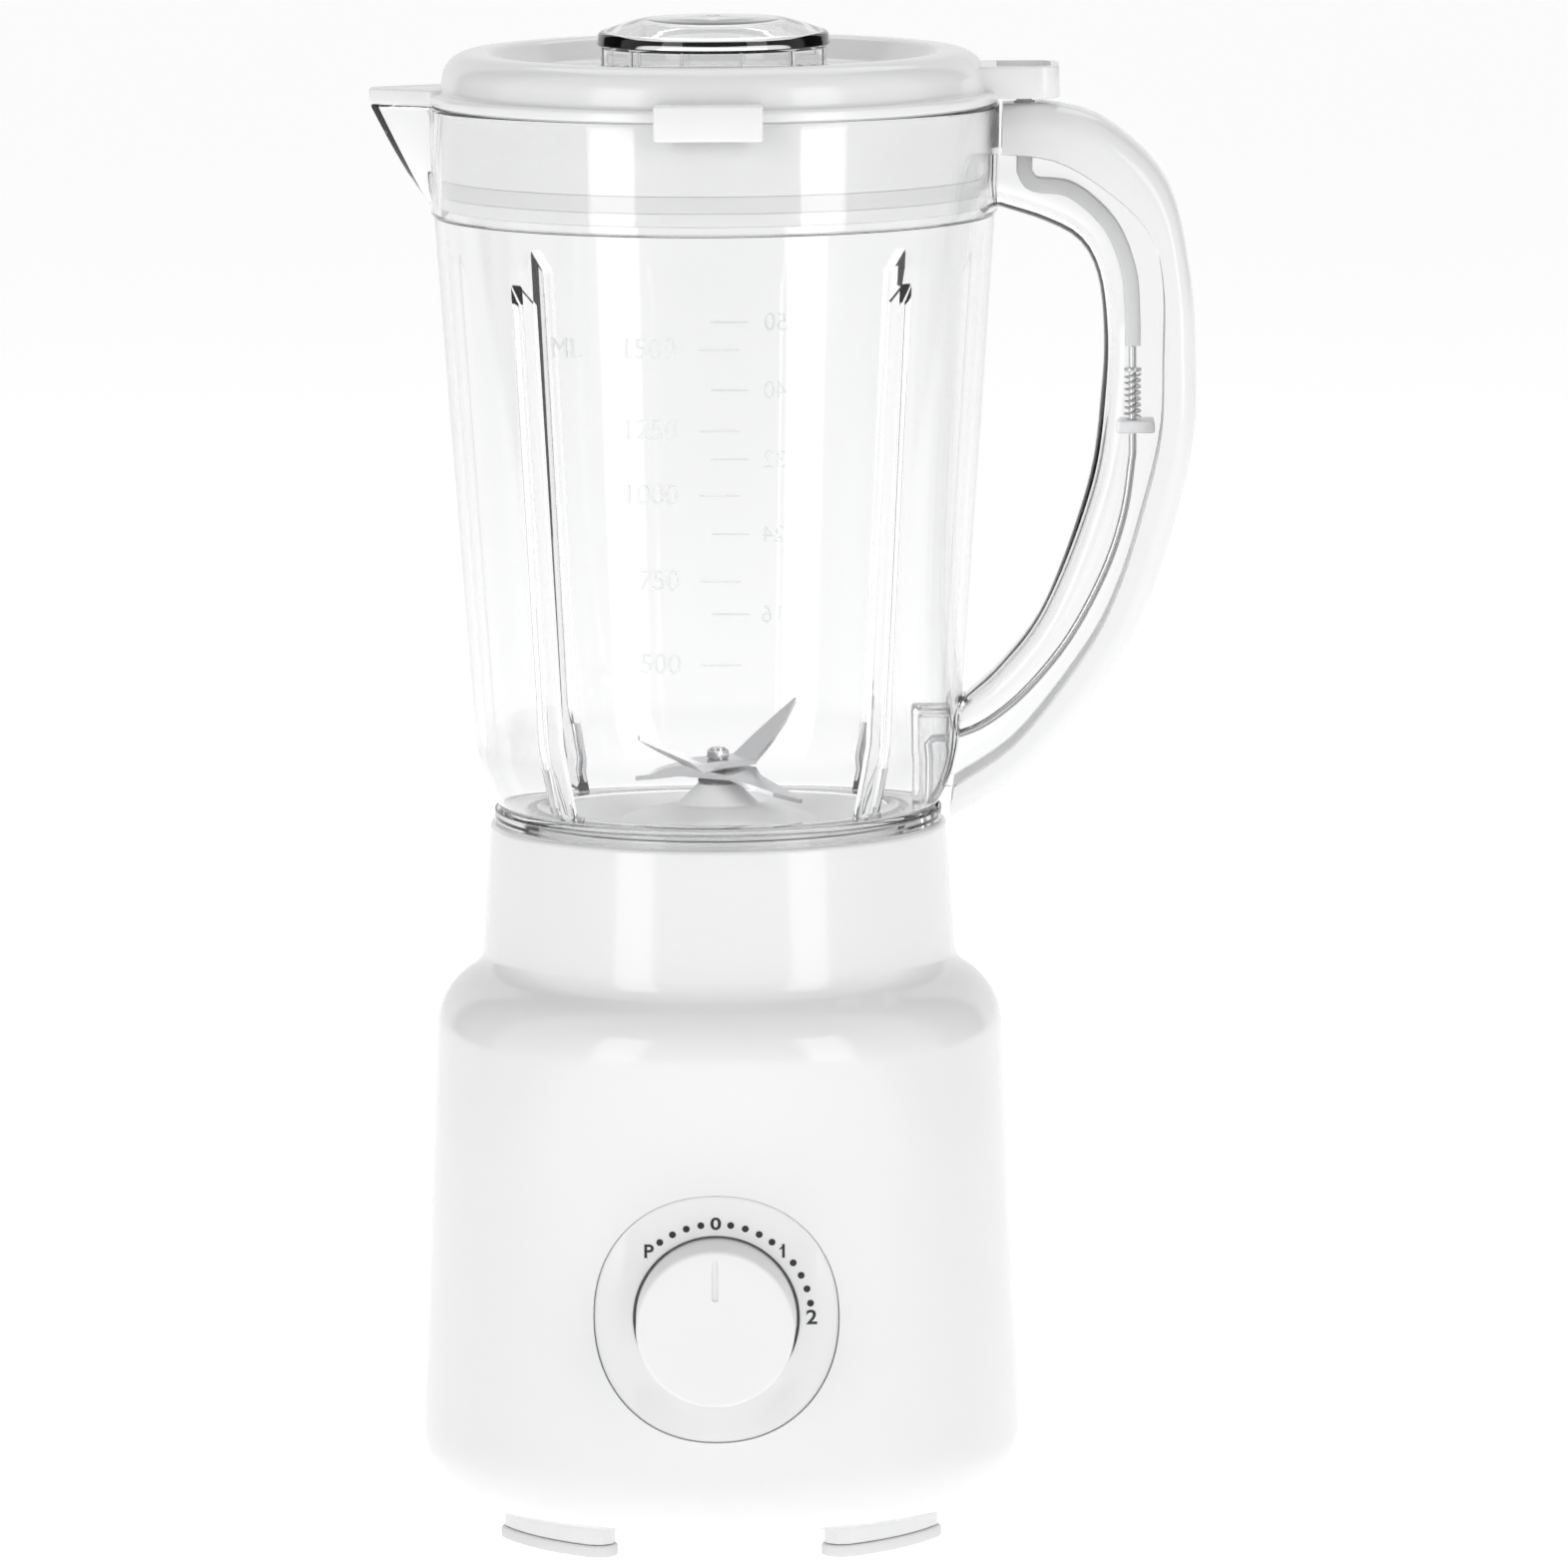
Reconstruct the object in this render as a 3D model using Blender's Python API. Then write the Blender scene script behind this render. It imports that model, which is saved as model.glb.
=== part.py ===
"""Countertop blender: motor base, clear jar with blades, lid and measuring cup.

Lengths are written in millimetres and angles in degrees, and finish() turns each mesh
into metres. Every shape is drawn around the motor's axis, x = y = 0, with z = 0 on the
table, the control knob towards -Y and the handle towards +X. The empty blender_frame
then centres the whole object on its bounding box.
"""
import math

import bmesh
import bpy
from mathutils import Matrix, Vector

MM = 0.001
GAP = 0.3  # clearance between pieces that touch
HOLE_GAP = 0.4  # radial clearance of a screw or pin in its hole

# Base housing, measured over its outer skin.
BASE_WIDTH = 155.6  # at the floor, before the bottom edge is rounded
BASE_DEPTH = 146.2
BASE_SQUARENESS = 2.3  # exponent of the plan outline, 2 is an ellipse
BASE_LEAN = 0.045  # how much a side leans in for each unit of height
BASE_FLOOR = 8.5
BASE_EDGE_RADIUS = 17.0
BASE_WALL = 2.5
SHOULDER_Z = 137.7
SHOULDER_RADIUS = 17.5
ROUNDING_Z = 0.72 * SHOULDER_Z  # from here up to the shoulder the plan outline turns round
SHOULDER_RISE = 8.3
COLLAR_FOOT_RADIUS = 60.6
COLLAR_FILLET = 7.0
COLLAR_TOP = 182.0
COLLAR_RADIUS = 58.1
WELL_DEPTH = 26.0
WELL_RADIUS = 49.3
WELL_WALL = 2.2
SPILL_RING_RADIUS = 17.0
SPILL_RING_HEIGHT = 4.0
OPENING_WIDTH = BASE_WIDTH - 35.0
COVER_THICKNESS = 2.5

# Feet.
FOOT_RADIUS = 56.5
FOOT_HALF_WIDTH = 5.0
FOOT_ANGLE = 41.0
FOOT_HALF_SPAN = 16.0
PAD_HEIGHT = 3.0
PAD_OVERHANG = 0.7

# Fasteners.
SCREW_X = 41.0
SCREW_Y = 19.0
SCREW_SHANK = 1.5
SCREW_HEAD = 3.2
SCREW_HEAD_HEIGHT = 1.7
SCREW_GRIP = 13.0
SCREW_POST = 3.8
BOLT_X = 28.5
BOLT_Y = 21.5
BOLT_SHANK = 1.8
BOLT_POST = 4.5
BOLT_POST_LENGTH = 22.0
BOLT_GRIP = 13.0

# Control panel and knob.
KNOB_Z = 65.5
KNOB_RADIUS = 20.2
KNOB_STANDOUT = 15.3
KNOB_TAPER = 0.4
KNOB_CLEARANCE = 0.7
PANEL_WIDTH = 61.5
PANEL_HEIGHT = 62.3
PANEL_SQUARENESS = 2.15
PANEL_RECESS = 0.6
PANEL_DISH = 2.2
PANEL_WALL = 2.4
PANEL_CUP_DEPTH = 4.5
SHAFT_RADIUS = 3.0
SWITCH_SIDE = 32.0
SWITCH_DEPTH = 22.0

# Motor.
MOTOR_SHAFT_RADIUS = 4.0
STACK_WIDTH = 70.0
STACK_DEPTH = 56.0
STACK_HEIGHT = 30.0
STACK_YOKE = 5.0
BORE_RADIUS = 20.5
AIR_GAP = 0.8
POLE_SHOE = 3.5
POLE_HALF_WIDTH = 9.0
BRACKET_THICKNESS = 3.0
BRACKET_TO_STACK = 30.0
BEARING_RADIUS = 11.0
BEARING_HEIGHT = 7.0
COMMUTATOR_RADIUS = 14.5
BRUSH_HEIGHT = 6.0
FAN_RADIUS = 27.0
FAN_BLADES = 9

# Couplings: a six-lobed star on the motor's shaft drives a socket under the jar.
STAR_RADIUS = 8.6
STAR_LOBE = 0.9
STAR_HEIGHT = 7.0
COUPLING_DISC = 14.0

# Jar, heights measured from its seat on the collar.
JAR_HEIGHT = 182.7
JAR_TOP_RADIUS = 72.3
JAR_STEP_HEIGHT = JAR_HEIGHT - 28.2
JAR_STEP_RADIUS = JAR_TOP_RADIUS - 1.3
JAR_STEP = 0.6
JAR_KNEE_HEIGHT = 12.6
JAR_KNEE_RADIUS = COLLAR_RADIUS + 3.0
JAR_KNEE_BEND = 40.0
JAR_FOOT_RADIUS = COLLAR_RADIUS - 2.7
JAR_FLANGE_RADIUS = COLLAR_RADIUS - 1.1
JAR_FLANGE_HEIGHT = 3.3
JAR_WALL = 2.5
JAR_FLOOR_HEIGHT = 4.7
SKIRT_WALL = 2.3
SKIRT_LENGTH = WELL_DEPTH - 2.2
FLOOR_LIP = 3.2
SPOUT_REACH = 14.8
SPOUT_DEPTH = 25.0
SPOUT_HALF_ANGLE = 7.5
RIB_WIDTH = 4.0
RIB_DEPTH = 5.0
RIB_TOP = JAR_HEIGHT - 44.7

# Handle: how far each line of its side view stands out from the jar's outer wall.
HANDLE_DRAWN_HEIGHT = 182.7  # the jar height at which these heights are true
GRIP_LINE = [(0.7, 156.4), (13.0, 152.6), (21.8, 147.7), (27.0, 139.0), (29.5, 125.0),
             (29.9, 110.0), (28.2, 86.7), (19.4, 56.1), (9.5, 40.5), (0.7, 31.6)]
SEAM_LINE = [(0.7, 170.3), (14.6, 168.4), (28.0, 160.5), (39.5, 150.0), (43.9, 136.0),
             (45.2, 117.5), (45.8, 98.0), (42.2, 77.0), (37.6, 58.7), (30.6, 43.0),
             (14.9, 20.8), (1.7, 9.2)]
BACK_LINE = [(0.7, 182.3), (12.0, 182.5), (26.9, 178.1), (42.6, 162.9), (50.4, 139.5),
             (53.2, 118.0), (54.1, 98.0), (50.7, 76.0), (44.7, 54.0), (34.2, 33.0),
             (16.2, 11.0), (3.6, 1.0)]
HANDLE_STATIONS = 17
CHANNEL_HALF_WIDTH = 11.6
CHANNEL_WALL = 2.2
COVER_HALF_WIDTH = 12.2
COVER_WALL = 2.2
ROOT_SINK = 1.8

# Lid interlock inside the handle.
ROD_WIDTH = 4.0
ROD_HALF_Y = 2.5
ROD_X = JAR_TOP_RADIUS + 6.2
PIN_STANDOUT = 37.9  # from the jar wall at the middle of the spring
LINK_LINE = [(37.9, 78.0), (34.0, 63.0), (26.1, 46.0), (16.0, 32.5), (6.7, 24.5), (-0.8, 21.2)]
PIN_RADIUS = 1.1
ROD_FOOT_HEIGHT = 120.7
COLLAR_ON_PIN_HEIGHT = 114.0
SPRING_SEAT_HEIGHT = 101.8
SPRING_RADIUS = 2.0
SPRING_WIRE = 0.35
SPRING_TURNS = 6
BASE_PIN_X = WELL_RADIUS + WELL_WALL + 2.1
BASE_PIN_RADIUS = 1.3
POCKET_HALF_WIDTH = 4.0
POCKET_TOP = 27.0 * JAR_HEIGHT / HANDLE_DRAWN_HEIGHT
POCKET_WALL = 1.8

# Blade unit, heights measured from the jar's seat.
HOLDER_WALL = 2.4
HOLDER_DIP = 4.7
DOME_RADIUS = 27.5
DOME_TOP = 5.0
CONE_RADIUS = 10.5
CONE_TOP = 11.2
CONE_TIP = 5.2
HOLDER_HUB_LENGTH = 16.0
SPINDLE_RADIUS = 3.0
SPINDLE_THREAD = 2.0
BUSH_WALL = 2.0
BLADE_THICKNESS = 1.2
BLADE_REACH = 25.0
BLADE_ROOT = 8.0
BLADE_WIDTH = 11.0
WASHER_RADIUS = 5.1
NUT_RADIUS = 3.2

# Lid, heights measured from the jar's rim.
LID_WALL = 2.4
LID_CREST = 13.2
LID_CREST_RADIUS = JAR_TOP_RADIUS - 15.3
LID_FLOOR = 7.0
LID_DISH_RADIUS = JAR_TOP_RADIUS - 21.3
LID_FLANGE = 3.3
LID_SKIRT = 25.7
LID_LIP_TIP = JAR_TOP_RADIUS + SPOUT_REACH
LID_TAB_WIDTH = 27.0
LID_TAB_DEPTH = JAR_TOP_RADIUS + 3.7
LID_TAB_DROP = 4.0
TRAY_REACH = JAR_TOP_RADIUS + 15.1
TRAY_HALF_WIDTH = 12.0
TRAY_BOTTOM = 1.4
TRAY_TOP = 9.5
TONGUE_DROP = 2.4
CUP_HOLE = 27.0

# Measuring cup.
CUP_NECK_RADIUS = CUP_HOLE + 1.6
CUP_DISC_RADIUS = CUP_HOLE + 2.7
CUP_TOP = 22.0
CUP_DISC_Z = 15.0
CUP_DEPTH = 22.0
CUP_WALL = 1.8

GLAND_Z = 34.0
GLAND_RADIUS = 5.0
GLAND_FLANGE = 7.5
GLAND_STANDOUT = 4.6
CORD_RADIUS = 3.3

# Heights that follow from the sizes above.
WELL_FLOOR = COLLAR_TOP - WELL_DEPTH
SEAT = COLLAR_TOP + GAP
RIM = SEAT + JAR_HEIGHT
DEPTH_SHARE = BASE_DEPTH / BASE_WIDTH
UPPER_BRACKET_TOP = WELL_FLOOR - BASE_WALL - BOLT_POST_LENGTH - GAP
STACK_TOP = UPPER_BRACKET_TOP - BRACKET_THICKNESS - BRACKET_TO_STACK
STACK_BOTTOM = STACK_TOP - STACK_HEIGHT
LOWER_BRACKET_TOP = STACK_BOTTOM - BRACKET_TO_STACK - BRACKET_THICKNESS
SKIRT_OUTER = WELL_RADIUS - 0.8
SKIRT_INNER = SKIRT_OUTER - SKIRT_WALL
HOLDER_RADIUS = SKIRT_INNER - GAP
LIP_RADIUS = SKIRT_INNER - FLOOR_LIP
PIN_FOOT_Z = SHOULDER_Z + 10.2
STAR_BASE = WELL_FLOOR + 5.0
STAR_TOP = STAR_BASE + STAR_HEIGHT
CORE_RADIUS = BORE_RADIUS - AIR_GAP
PANEL_HOLE = KNOB_RADIUS + KNOB_CLEARANCE
CUTTER_REACH = 200.0
ROUND_SIDES = 32  # sides of the large round pieces, alike so that nested ones stay clear


def base_half_width(z):
    return BASE_WIDTH / 2 - BASE_LEAN * (z - BASE_FLOOR)


def base_half_depth(z):
    return base_half_width(z) * DEPTH_SHARE


KNOB_FACE_Y = -base_half_depth(KNOB_Z) + PANEL_DISH - KNOB_STANDOUT
GLAND_END_Y = base_half_depth(GLAND_Z) + GLAND_STANDOUT


# ---------------------------------------------------------------- scene and helpers
def clear_scene():
    for obj in list(bpy.data.objects):
        bpy.data.objects.remove(obj, do_unlink=True)


def material(name, colour, roughness, metallic=0.0, transmission=0.0):
    made = bpy.data.materials.new(name)
    made.use_nodes = True
    shader = made.node_tree.nodes["Principled BSDF"]
    shader.inputs["Base Color"].default_value = (*colour, 1.0)
    shader.inputs["Roughness"].default_value = roughness
    shader.inputs["Metallic"].default_value = metallic
    shader.inputs["Transmission Weight"].default_value = transmission
    return made


def empty(name, location=(0, 0, 0), parent=None):
    made = bpy.data.objects.new(name, None)
    made.location = Vector(location) * MM
    made.parent = parent
    bpy.context.scene.collection.objects.link(made)
    return made


def finish(name, bm, surface, parent, turn=None):
    """Scale a mesh to metres, point its faces out and make it an object."""
    bmesh.ops.remove_doubles(bm, verts=bm.verts, dist=1e-4)
    bmesh.ops.recalc_face_normals(bm, faces=bm.faces)
    if turn is not None:
        bmesh.ops.transform(bm, matrix=turn, verts=bm.verts)
    bmesh.ops.scale(bm, vec=(MM, MM, MM), verts=bm.verts)
    mesh = bpy.data.meshes.new(name)
    bm.to_mesh(mesh)
    bm.free()
    mesh.shade_smooth()
    mesh.set_sharp_from_angle(angle=math.radians(35))
    if surface is not None:
        mesh.materials.append(surface)
    made = bpy.data.objects.new(name, mesh)
    made.parent = parent
    bpy.context.scene.collection.objects.link(made)
    return made


def apply_tool(target, tool, operation):
    modifier = target.modifiers.new(f"{operation.lower()}_{tool.name}", "BOOLEAN")
    modifier.operation = operation
    modifier.solver = "EXACT"
    modifier.object = tool
    tool.hide_render = True
    tool.display_type = "WIRE"


def cut(target, tool):
    apply_tool(target, tool, "DIFFERENCE")


def join(target, tool):
    apply_tool(target, tool, "UNION")


def rounded_path(corners, steps=4, closed=False):
    """Turn (a, b, radius) corners into points, with an arc at each rounded corner."""
    count = len(corners)
    points = []
    for index, (a, b, radius) in enumerate(corners):
        at_end = not closed and index in (0, count - 1)
        at = Vector((a, b))
        if radius == 0 or at_end:
            points.append((a, b))
            continue
        back = (Vector(corners[index - 1][:2]) - at).normalized()
        ahead = (Vector(corners[(index + 1) % count][:2]) - at).normalized()
        half = back.angle(ahead) / 2
        centre = at + (back + ahead).normalized() * radius / math.sin(half)
        start = at + back * radius / math.tan(half) - centre
        end = at + ahead * radius / math.tan(half) - centre
        first = math.atan2(start.y, start.x)
        sweep = math.atan2(end.y, end.x) - first
        sweep = (sweep + math.pi) % (2 * math.pi) - math.pi
        for step in range(steps + 1):
            angle = first + sweep * step / steps
            points.append((centre.x + radius * math.cos(angle), centre.y + radius * math.sin(angle)))
    return points


def even_curve(knots, count):
    """Points at equal distances along a smooth curve through the knots."""
    ends = [2 * Vector(knots[0]) - Vector(knots[1])]
    ends += [Vector(knot) for knot in knots]
    ends.append(2 * Vector(knots[-1]) - Vector(knots[-2]))
    fine = []
    for before, start, end, after in zip(ends, ends[1:], ends[2:], ends[3:]):
        for step in range(16):
            t = step / 16
            fine.append(0.5 * (2 * start + (end - before) * t
                               + (2 * before - 5 * start + 4 * end - after) * t * t
                               + (3 * start - before - 3 * end + after) * t ** 3))
    fine.append(ends[-2])
    lengths = [0.0]
    for start, end in zip(fine, fine[1:]):
        lengths.append(lengths[-1] + (end - start).length)
    points = []
    index = 0
    for station in range(count):
        wanted = lengths[-1] * station / (count - 1)
        while index < len(fine) - 2 and lengths[index + 1] < wanted:
            index += 1
        part = (wanted - lengths[index]) / (lengths[index + 1] - lengths[index])
        points.append(fine[index].lerp(fine[index + 1], part))
    return points


def loft(rings, chain=False):
    """Join rings of equal length; a chain closes on itself, other lofts are capped."""
    bm = bmesh.new()
    loops = [[bm.verts.new(point) for point in ring] for ring in rings]
    size = len(rings[0])
    pairs = list(zip(loops, loops[1:]))
    if chain:
        pairs.append((loops[-1], loops[0]))
    for low, high in pairs:
        for i in range(size):
            j = (i + 1) % size
            bm.faces.new((low[i], low[j], high[j], high[i]))
    if not chain:
        bm.faces.new(loops[0])
        bm.faces.new(loops[-1])
    return bm


def lathe(profile, segments=24):
    """Turn a profile of (radius, z) points around Z; it closes unless it ends on Z."""
    bm = bmesh.new()
    verts = [bm.verts.new((radius, 0, z)) for radius, z in profile]
    edges = [bm.edges.new(pair) for pair in zip(verts, verts[1:])]
    if profile[0][0] > 0 or profile[-1][0] > 0:
        edges.append(bm.edges.new((verts[-1], verts[0])))
    bmesh.ops.spin(bm, geom=verts + edges, cent=(0, 0, 0), axis=(0, 0, 1),
                   angle=2 * math.pi, steps=segments, use_merge=True)
    return bm


def prism(outline, low, high, plane="xy"):
    """Extrude a flat outline, drawn in plane xy, xz or yz, from low to high."""
    def place(a, b, c):
        return {"xy": (a, b, c), "xz": (a, c, b), "yz": (c, a, b)}[plane]
    bm = bmesh.new()
    base = bm.faces.new([bm.verts.new(place(a, b, low)) for a, b in outline])
    made = bmesh.ops.extrude_face_region(bm, geom=[base])
    moved = [item for item in made["geom"] if isinstance(item, bmesh.types.BMVert)]
    bmesh.ops.translate(bm, verts=moved, vec=place(0, 0, high - low))
    return bm


def box_outline(x0, x1, y0, y1, radius=0.0):
    corners = [(x0, y0, radius), (x1, y0, radius), (x1, y1, radius), (x0, y1, radius)]
    return rounded_path(corners, 3, closed=True)


def box(x0, x1, y0, y1, z0, z1, radius=0.0):
    return prism(box_outline(x0, x1, y0, y1, radius), z0, z1)


def tube(inner, outer, low, high, segments=24):
    return lathe([(inner, low), (outer, low), (outer, high), (inner, high)], segments)


def rod(radius, low, high, segments=16):
    return lathe([(0, low), (radius, low), (radius, high), (0, high)], segments)


def moved(bm, x=0.0, y=0.0, z=0.0):
    bmesh.ops.translate(bm, verts=bm.verts, vec=(x, y, z))
    return bm


def merged(pieces):
    """One bmesh that holds several separate solids, for use as a tool."""
    whole = bmesh.new()
    for piece in pieces:
        bmesh.ops.recalc_face_normals(piece, faces=piece.faces)
        carrier = bpy.data.meshes.new("carrier")
        piece.to_mesh(carrier)
        piece.free()
        whole.from_mesh(carrier)
        bpy.data.meshes.remove(carrier)
    return whole


def superellipse(half_x, half_y, power, segments=ROUND_SIDES):
    points = []
    for index in range(segments):
        angle = 2 * math.pi * index / segments
        c, s = math.cos(angle), math.sin(angle)
        points.append((math.copysign(abs(c) ** (2 / power), c) * half_x,
                       math.copysign(abs(s) ** (2 / power), s) * half_y))
    return points


def corner_places(x, y):
    return [(x, y), (-x, y), (-x, -y), (x, -y)]


# ---------------------------------------------------------------- base
def base_blend(z):
    """0 on the squarish body, 1 from the shoulder up, where the base is round."""
    t = min(max((z - ROUNDING_Z) / (SHOULDER_Z - ROUNDING_Z), 0.0), 1.0)
    return t * t * (3 - 2 * t)


def base_ring(radius, z, inset=0.0):
    """A ring of the housing whose half-width is radius, drawn inset from the skin."""
    blend = base_blend(z)
    depth = DEPTH_SHARE * (1 - blend) + blend
    power = BASE_SQUARENESS * (1 - blend) + 2 * blend
    outline = superellipse(radius - inset, radius * depth - inset, power)
    return [(x, y, z) for x, y in outline]


def base_front(x, z):
    """How far forward the housing's front skin stands at x and z."""
    share = 1 - (abs(x) / base_half_width(z)) ** BASE_SQUARENESS
    return -base_half_depth(z) * share ** (1 / BASE_SQUARENESS)


def outer_corners():
    foot = SHOULDER_Z + SHOULDER_RISE
    return [(OPENING_WIDTH / 2, BASE_FLOOR, 0), (BASE_WIDTH / 2, BASE_FLOOR, BASE_EDGE_RADIUS),
            (base_half_width(ROUNDING_Z), ROUNDING_Z, 0),
            (base_half_width(SHOULDER_Z), SHOULDER_Z, SHOULDER_RADIUS),
            (COLLAR_FOOT_RADIUS, foot, COLLAR_FILLET), (COLLAR_RADIUS, COLLAR_TOP, 0)]


def make_housing(frame, surface):
    outer = rounded_path(outer_corners(), 3)
    rings = [base_ring(radius, z) for radius, z in outer[:-1]]
    rings.append(base_ring(COLLAR_RADIUS + 0.05, COLLAR_TOP - 1.0))
    rings.append(base_ring(COLLAR_RADIUS - 0.9, COLLAR_TOP))
    under = WELL_FLOOR - BASE_WALL
    ceiling = COLLAR_TOP - BASE_WALL
    well = [(WELL_RADIUS + 0.6, COLLAR_TOP), (WELL_RADIUS, COLLAR_TOP - 0.8),
            (WELL_RADIUS, WELL_FLOOR), (SPILL_RING_RADIUS + BASE_WALL, WELL_FLOOR),
            (SPILL_RING_RADIUS + BASE_WALL, WELL_FLOOR + SPILL_RING_HEIGHT),
            (SPILL_RING_RADIUS, WELL_FLOOR + SPILL_RING_HEIGHT), (SPILL_RING_RADIUS, under),
            (WELL_RADIUS + WELL_WALL, under), (WELL_RADIUS + WELL_WALL, ceiling)]
    rings += [base_ring(radius, z) for radius, z in well]
    rings.append(base_ring(COLLAR_RADIUS, ceiling, BASE_WALL))
    inner = [point for point in rounded_path(outer_corners(), 2)[1:-1]
             if point[1] > BASE_FLOOR + BASE_WALL + 1.0]
    rings += [base_ring(radius, z, BASE_WALL) for radius, z in reversed(inner)]
    rings.append(base_ring(OPENING_WIDTH / 2 + BASE_WALL, BASE_FLOOR + BASE_WALL))
    rings.append(base_ring(OPENING_WIDTH / 2, BASE_FLOOR + BASE_WALL))
    housing = finish("base_housing", loft(rings, chain=True), surface, frame)

    post_foot = BASE_FLOOR + COVER_THICKNESS + GAP
    posts = [moved(rod(SCREW_POST, post_foot, under + 1.0, 8), x, y)
             for x, y in corner_places(SCREW_X, SCREW_Y)]
    posts += [moved(rod(BOLT_POST, under - BOLT_POST_LENGTH, under + 1.0, 8), x, y)
              for x, y in corner_places(BOLT_X, BOLT_Y)]
    join(housing, finish("housing_posts", merged(posts), None, frame))

    holes = [moved(rod(SCREW_SHANK + HOLE_GAP, post_foot - 2, post_foot + SCREW_GRIP + 1, 8), x, y)
             for x, y in corner_places(SCREW_X, SCREW_Y)]
    foot = under - BOLT_POST_LENGTH
    holes += [moved(rod(BOLT_SHANK + HOLE_GAP, foot - 2, foot + BOLT_GRIP + 1, 8), x, y)
              for x, y in corner_places(BOLT_X, BOLT_Y)]
    pin_hole = rod(BASE_PIN_RADIUS + HOLE_GAP, ceiling - 4, COLLAR_TOP + 4, 12)
    holes.append(moved(pin_hole, BASE_PIN_X))
    gland_hole = rod(GLAND_RADIUS + HOLE_GAP, 0, CUTTER_REACH, 16)
    bmesh.ops.rotate(gland_hole, cent=(0, 0, 0), verts=gland_hole.verts,
                     matrix=Matrix.Rotation(math.radians(-90), 3, "X"))
    holes.append(moved(gland_hole, 0, 0, GLAND_Z))
    panel_hole = prism(superellipse(PANEL_WIDTH / 2 + GAP, PANEL_HEIGHT / 2 + GAP, PANEL_SQUARENESS),
                       -CUTTER_REACH, -30, "xz")
    holes.append(moved(panel_hole, 0, 0, KNOB_Z))
    cut(housing, finish("housing_holes", merged(holes), None, frame))


def arc_slot(radius, half_width, middle, half_span, steps=6):
    """A banana-shaped outline: an arc of a ring with round ends, as oval as the base."""
    points = []
    for side, start, end in ((1, -1, 1), (-1, 1, -1)):
        for step in range(steps + 1):
            angle = math.radians(middle + half_span * (start + (end - start) * step / steps))
            reach = radius + side * half_width
            points.append((reach * math.cos(angle), reach * math.sin(angle)))
        turn = math.radians(middle + half_span * end)
        centre = Vector((radius * math.cos(turn), radius * math.sin(turn)))
        for step in range(1, 4):
            swing = turn + math.pi * step / 4 + (0 if side > 0 else math.pi)
            points.append((centre.x + half_width * math.cos(swing), centre.y + half_width * math.sin(swing)))
    return [(x, y * DEPTH_SHARE) for x, y in points]


FOOT_PLACES = {"rear_right": FOOT_ANGLE, "rear_left": 180 - FOOT_ANGLE,
               "front_left": 180 + FOOT_ANGLE, "front_right": 360 - FOOT_ANGLE}


def make_bottom(frame, plastic, rubber, steel):
    outline = [(x, y) for x, y, _ in base_ring(OPENING_WIDTH / 2 - GAP, BASE_FLOOR)]
    cover = finish("bottom_cover", prism(outline, BASE_FLOOR, BASE_FLOOR + COVER_THICKNESS), plastic, frame)
    feet = []
    for name, middle in FOOT_PLACES.items():
        shape = arc_slot(FOOT_RADIUS, FOOT_HALF_WIDTH - PAD_OVERHANG, middle, FOOT_HALF_SPAN)
        feet.append(prism(shape, PAD_HEIGHT + GAP, BASE_FLOOR + 1.0))
        pad = prism(arc_slot(FOOT_RADIUS, FOOT_HALF_WIDTH, middle, FOOT_HALF_SPAN), 0, PAD_HEIGHT)
        finish(f"foot_pad_{name}", pad, rubber, frame)
    join(cover, finish("cover_feet", merged(feet), None, frame))

    holes = [moved(rod(SCREW_SHANK + HOLE_GAP, BASE_FLOOR - 2, BASE_FLOOR + COVER_THICKNESS + 2, 10), x, y)
             for x, y in corner_places(SCREW_X, SCREW_Y)]
    for row in range(-3, 4):
        half = 22 - 2.2 * abs(row)
        holes.append(box(-half, half, row * 7 - 1.5, row * 7 + 1.5,
                         BASE_FLOOR - 2, BASE_FLOOR + COVER_THICKNESS + 2))
    cut(cover, finish("cover_holes", merged(holes), None, frame))

    head_top = BASE_FLOOR - GAP
    shank_top = BASE_FLOOR + COVER_THICKNESS + GAP + SCREW_GRIP
    profile = [(0, head_top - SCREW_HEAD_HEIGHT), (SCREW_HEAD, head_top - 0.8 * SCREW_HEAD_HEIGHT),
               (SCREW_HEAD, head_top), (SCREW_SHANK, head_top),
               (SCREW_SHANK, shank_top - 2), (0, shank_top)]
    names = ["rear_right", "rear_left", "front_left", "front_right"]
    for name, (x, y) in zip(names, corner_places(SCREW_X, SCREW_Y)):
        finish(f"base_screw_{name}", moved(lathe(profile, 8), x, y), steel, frame)


def make_gland(frame, surface):
    skin = base_half_depth(GLAND_Z)
    profile = [(CORD_RADIUS, skin - 8), (GLAND_FLANGE, skin - 8), (GLAND_FLANGE, skin - BASE_WALL - 1.2),
               (GLAND_RADIUS, skin - BASE_WALL - 1.2), (GLAND_RADIUS, skin + GAP + 0.5),
               (GLAND_FLANGE, skin + GAP + 0.5), (GLAND_FLANGE - 0.8, GLAND_END_Y),
               (CORD_RADIUS, GLAND_END_Y)]
    turn = Matrix.Translation((0, 0, GLAND_Z)) @ Matrix.Rotation(math.radians(-90), 4, "X")
    finish("cord_gland", lathe(profile, 12), surface, frame, turn)


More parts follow.
